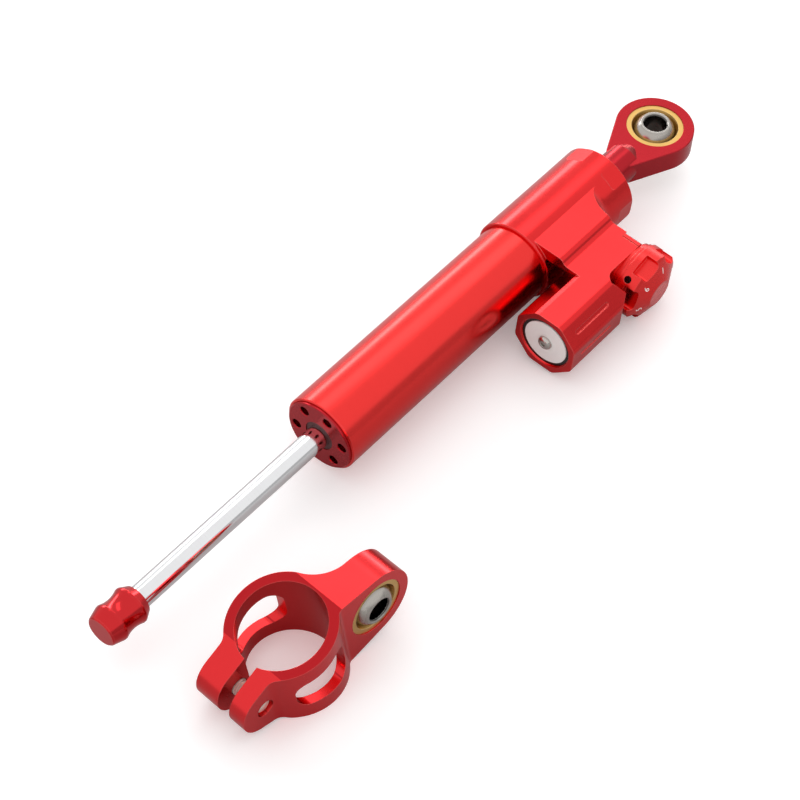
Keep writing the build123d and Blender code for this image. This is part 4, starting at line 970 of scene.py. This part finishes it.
@dataclass
class Studio:
    """Floor, sky, lamps, dark card and camera, in metres, watts and degrees."""

    floor_size: float = 8.0
    floor_colour: Colour = (0.93, 0.93, 0.93)
    mirrored_floor: Colour = (0.54, 0.53, 0.53)
    floor_roughness: float = 0.6
    floor_specular: float = 0.3
    floor_glow: float = 0.20
    sky_level: float = 0.95
    camera_place: Place = (-0.54760, -0.34055, 0.61220)
    camera_turn: Place = (40.0, 0.0, -50.0)
    camera_near: float = 0.01
    lens: float = 110.08
    key_power: float = 1.15
    key_size: Span = (0.9, 0.34)
    key_place: Place = (0.50, 0.36, 1.02)
    rim_power: float = 7.0
    rim_size: Span = (1.8, 0.22)
    rim_place: Place = (0.62, 0.88, 0.36)
    aim: Place = (-0.14, -0.02, 0.0)
    flag_size: Span = (3.0, 0.42)
    flag_place: Place = (0.30, -1.0, 0.16)
    flag_level: float = 0.52

    def floor(self, height: float) -> None:
        """Lay the pale floor, with a painted darker reflection where metal mirrors it.

        Args:
            height: the height of the lowest point of the damper.
        """
        clear_selection()
        bpy.ops.mesh.primitive_plane_add(size=self.floor_size, location=(0, 0, height))
        floor = bpy.context.object
        floor.name = "studio_floor"
        made = bpy.data.materials.new("floor_paper")
        made.use_nodes = True
        graph = Graph(made.node_tree)
        path = graph.add("LightPath").outputs
        # Painted reflection: glossy rays see a darker floor than the camera does, which darkens the metal
        # where it mirrors the floor.
        paper = graph.add(
            "BsdfPrincipled",
            Base_Color=graph.mix(path["Is Glossy Ray"], self.floor_colour, self.mirrored_floor),
            Roughness=self.floor_roughness,
            Specular_IOR_Level=self.floor_specular,
        )
        strength = graph.math("MULTIPLY", path["Is Camera Ray"], self.floor_glow)
        glow = graph.add("Emission", Color=WHITE_LIGHT, Strength=strength)
        both = graph.add("AddShader", i0=paper.outputs[0], i1=glow.outputs[0])
        graph.add("OutputMaterial", Surface=both.outputs[0])
        dress_piece(floor, made)
        floor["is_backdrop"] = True

    def sky(self) -> None:
        """Light the room evenly, and show the camera, metal and glass a plain white."""
        world = bpy.data.worlds.new("studio_sky")
        bpy.context.scene.world = world
        world.use_nodes = True
        graph = Graph(world.node_tree)
        path = graph.add("LightPath").outputs
        seen = graph.math("MAXIMUM", path["Is Camera Ray"], path["Is Glossy Ray"])
        seen = graph.math("MAXIMUM", seen, path["Is Transmission Ray"])
        strength = graph.spread(seen, WHOLE, (self.sky_level, 1.0))
        light = graph.add("Background", Color=WHITE_LIGHT, Strength=strength)
        graph.add("OutputWorld", Surface=light.outputs[0])

    def lamp(self, name: str, place: Place, power: float, size: Span) -> None:
        """Hang one soft lamp that faces the damper.

        Args:
            name: the lamp's name.
            place: where it hangs.
            power: its power in watts.
            size: its width and its height.
        """
        data = bpy.data.lights.new(name, "AREA")
        data.shape = "RECTANGLE"
        data.energy = power
        data.size, data.size_y = size
        lamp = bpy.data.objects.new(name, data)
        bpy.context.scene.collection.objects.link(lamp)
        lamp.location = place
        lamp.rotation_euler = (Vector(self.aim) - Vector(place)).to_track_quat("-Z", "Y").to_euler()

    def flag(self) -> None:
        """Stand a dark card on the camera's side, seen by reflections only."""
        clear_selection()
        bpy.ops.mesh.primitive_plane_add(size=1.0, location=self.flag_place, rotation=(QUARTER_TURN, 0, 0))
        card = bpy.context.object
        card.name = "dark_flag"
        card.scale = (*self.flag_size, 1.0)
        made = bpy.data.materials.new("flag_cloth")
        made.use_nodes = True
        graph = Graph(made.node_tree)
        cloth = graph.add("Emission", Color=WHITE_LIGHT, Strength=self.flag_level)
        graph.add("OutputMaterial", Surface=cloth.outputs[0])
        dress_piece(card, made)
        card.visible_camera = False
        card.visible_diffuse = False
        card.visible_shadow = False
        card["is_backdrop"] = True

    def camera(self) -> None:
        """Set the camera at the photograph's angle."""
        data = bpy.data.cameras.new("studio_camera")
        data.lens = self.lens
        data.clip_start = self.camera_near
        camera = bpy.data.objects.new("studio_camera", data)
        bpy.context.scene.collection.objects.link(camera)
        camera.location = self.camera_place
        camera.rotation_euler = tuple(math.radians(angle) for angle in self.camera_turn)
        bpy.context.scene.camera = camera

    def build(self, height: float) -> None:
        """Set up the whole studio.

        Args:
            height: the height of the floor.
        """
        self.floor(height)
        self.sky()
        self.lamp("key_lamp", self.key_place, self.key_power, self.key_size)
        self.lamp("rim_lamp", self.rim_place, self.rim_power, self.rim_size)
        self.flag()
        self.camera()
        bpy.context.scene.view_settings.view_transform = "Standard"


# The wardrobe of carried-over nodes


@dataclass(frozen=True)
class Dress:
    """What a carried-over CAD node wears, and the axis that its marks run round."""

    node: str
    finish: str
    centre: Vector = ORIGIN
    axis: Vector = ALONG


DRESSES = (
    Dress("barrel_tube", "red_tube"),
    Dress("gland_cap", "red_deep"),
    Dress("gland_bush", "bronze"),
    Dress("gland_seal", "seal"),
    Dress("gland_o_ring", "rubber"),
    Dress("head_housing", "red_milled"),
    Dress("head_bush", "bronze"),
    Dress("head_seal", "seal"),
    Dress("reservoir_plug", "plug", POD_CENTRE),
    Dress("plug_ring", "dark"),
    Dress("plug_o_ring", "rubber"),
    Dress("plug_screw", "steel", POD_CENTRE),
    Dress("compensator_piston", "plug", POD_CENTRE),
    Dress("compensator_o_ring", "rubber"),
    Dress("knob_collar", "red_knob"),
    Dress("detent_plunger", "steel", KNOB_CENTRE, OUTWARD),
    Dress("adjuster_knob", "red_knob", KNOB_CENTRE, OUTWARD),
    Dress("grub_screw", "dark"),
    Dress("adjuster_spindle", "steel", KNOB_CENTRE, OUTWARD),
    Dress("spindle_o_ring", "rubber"),
    Dress("piston", "plug"),
    Dress("piston_band", "band"),
    Dress("piston_clips", "steel"),
    Dress("damper_rod", "chrome"),
    Dress("rod_end_cap", "red_cap"),
    Dress("rod_eye", "red_deep"),
    Dress("eye_race", "brass", ORIGIN, EYE_NORMAL),
    Dress("eye_ball", "ball", ORIGIN, EYE_NORMAL),
    Dress("clamp_body", "red_clamp"),
    Dress("clamp_race", "brass", CLAMP_BALL, CLAMP_ACROSS * -1),
    Dress("clamp_ball", "ball", CLAMP_BALL, CLAMP_ACROSS * -1),
)


class Wardrobe:
    """Makes each finish once for each place that its marks are centred on."""

    def __init__(self) -> None:
        """Build the shared effects."""
        self.effects = Effects()
        self.made: dict[tuple, bpy.types.Material] = {}

    def finish(self, name: str, centre: Vector = ORIGIN, axis: Vector = ALONG) -> bpy.types.Material:
        """Give a finish whose marks run round an axis.

        Args:
            name: the finish.
            centre: a point of the axis in millimetres.
            axis: the axis.

        Returns:
            The material.
        """
        key = (name, *centre, *axis)
        if key not in self.made:
            self.made[key] = FINISHES[name].material(self.effects, centre * MM, axis)
        return self.made[key]

    def dress(self, nodes: dict[str, bpy.types.Object]) -> None:
        """Dress every carried-over node by its object's own material slot.

        Args:
            nodes: the CAD nodes by name.
        """
        for dress in DRESSES:
            piece = nodes[dress.node]
            material = self.finish(dress.finish, dress.centre, dress.axis)
            if not piece.data.materials:
                piece.data.materials.append(material)
            for place in piece.material_slots:
                place.link = "OBJECT"
                place.material = material
            LOG.info("%s wears %s", dress.node, dress.finish)


def main() -> None:
    """Load the frame, dress it, add the detailed pieces and set up the studio."""
    logging.basicConfig(level=logging.INFO, format="%(message)s")
    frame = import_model()
    cad_low, cad_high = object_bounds()
    wardrobe = Wardrobe()
    wardrobe.dress(frame["nodes"])
    figures = KnobFigures().build(wardrobe.finish("figures"))
    screw = PinchScrew()
    threaded = screw.build(wardrobe.finish("zinc", screw.on_axis(), CLAMP_ACROSS))
    for piece in (figures, threaded):
        LOG.info("%s has %d faces", piece.name, len(piece.data.polygons))
    Studio().build(cad_low.z)


if __name__ == "__main__":
    main()
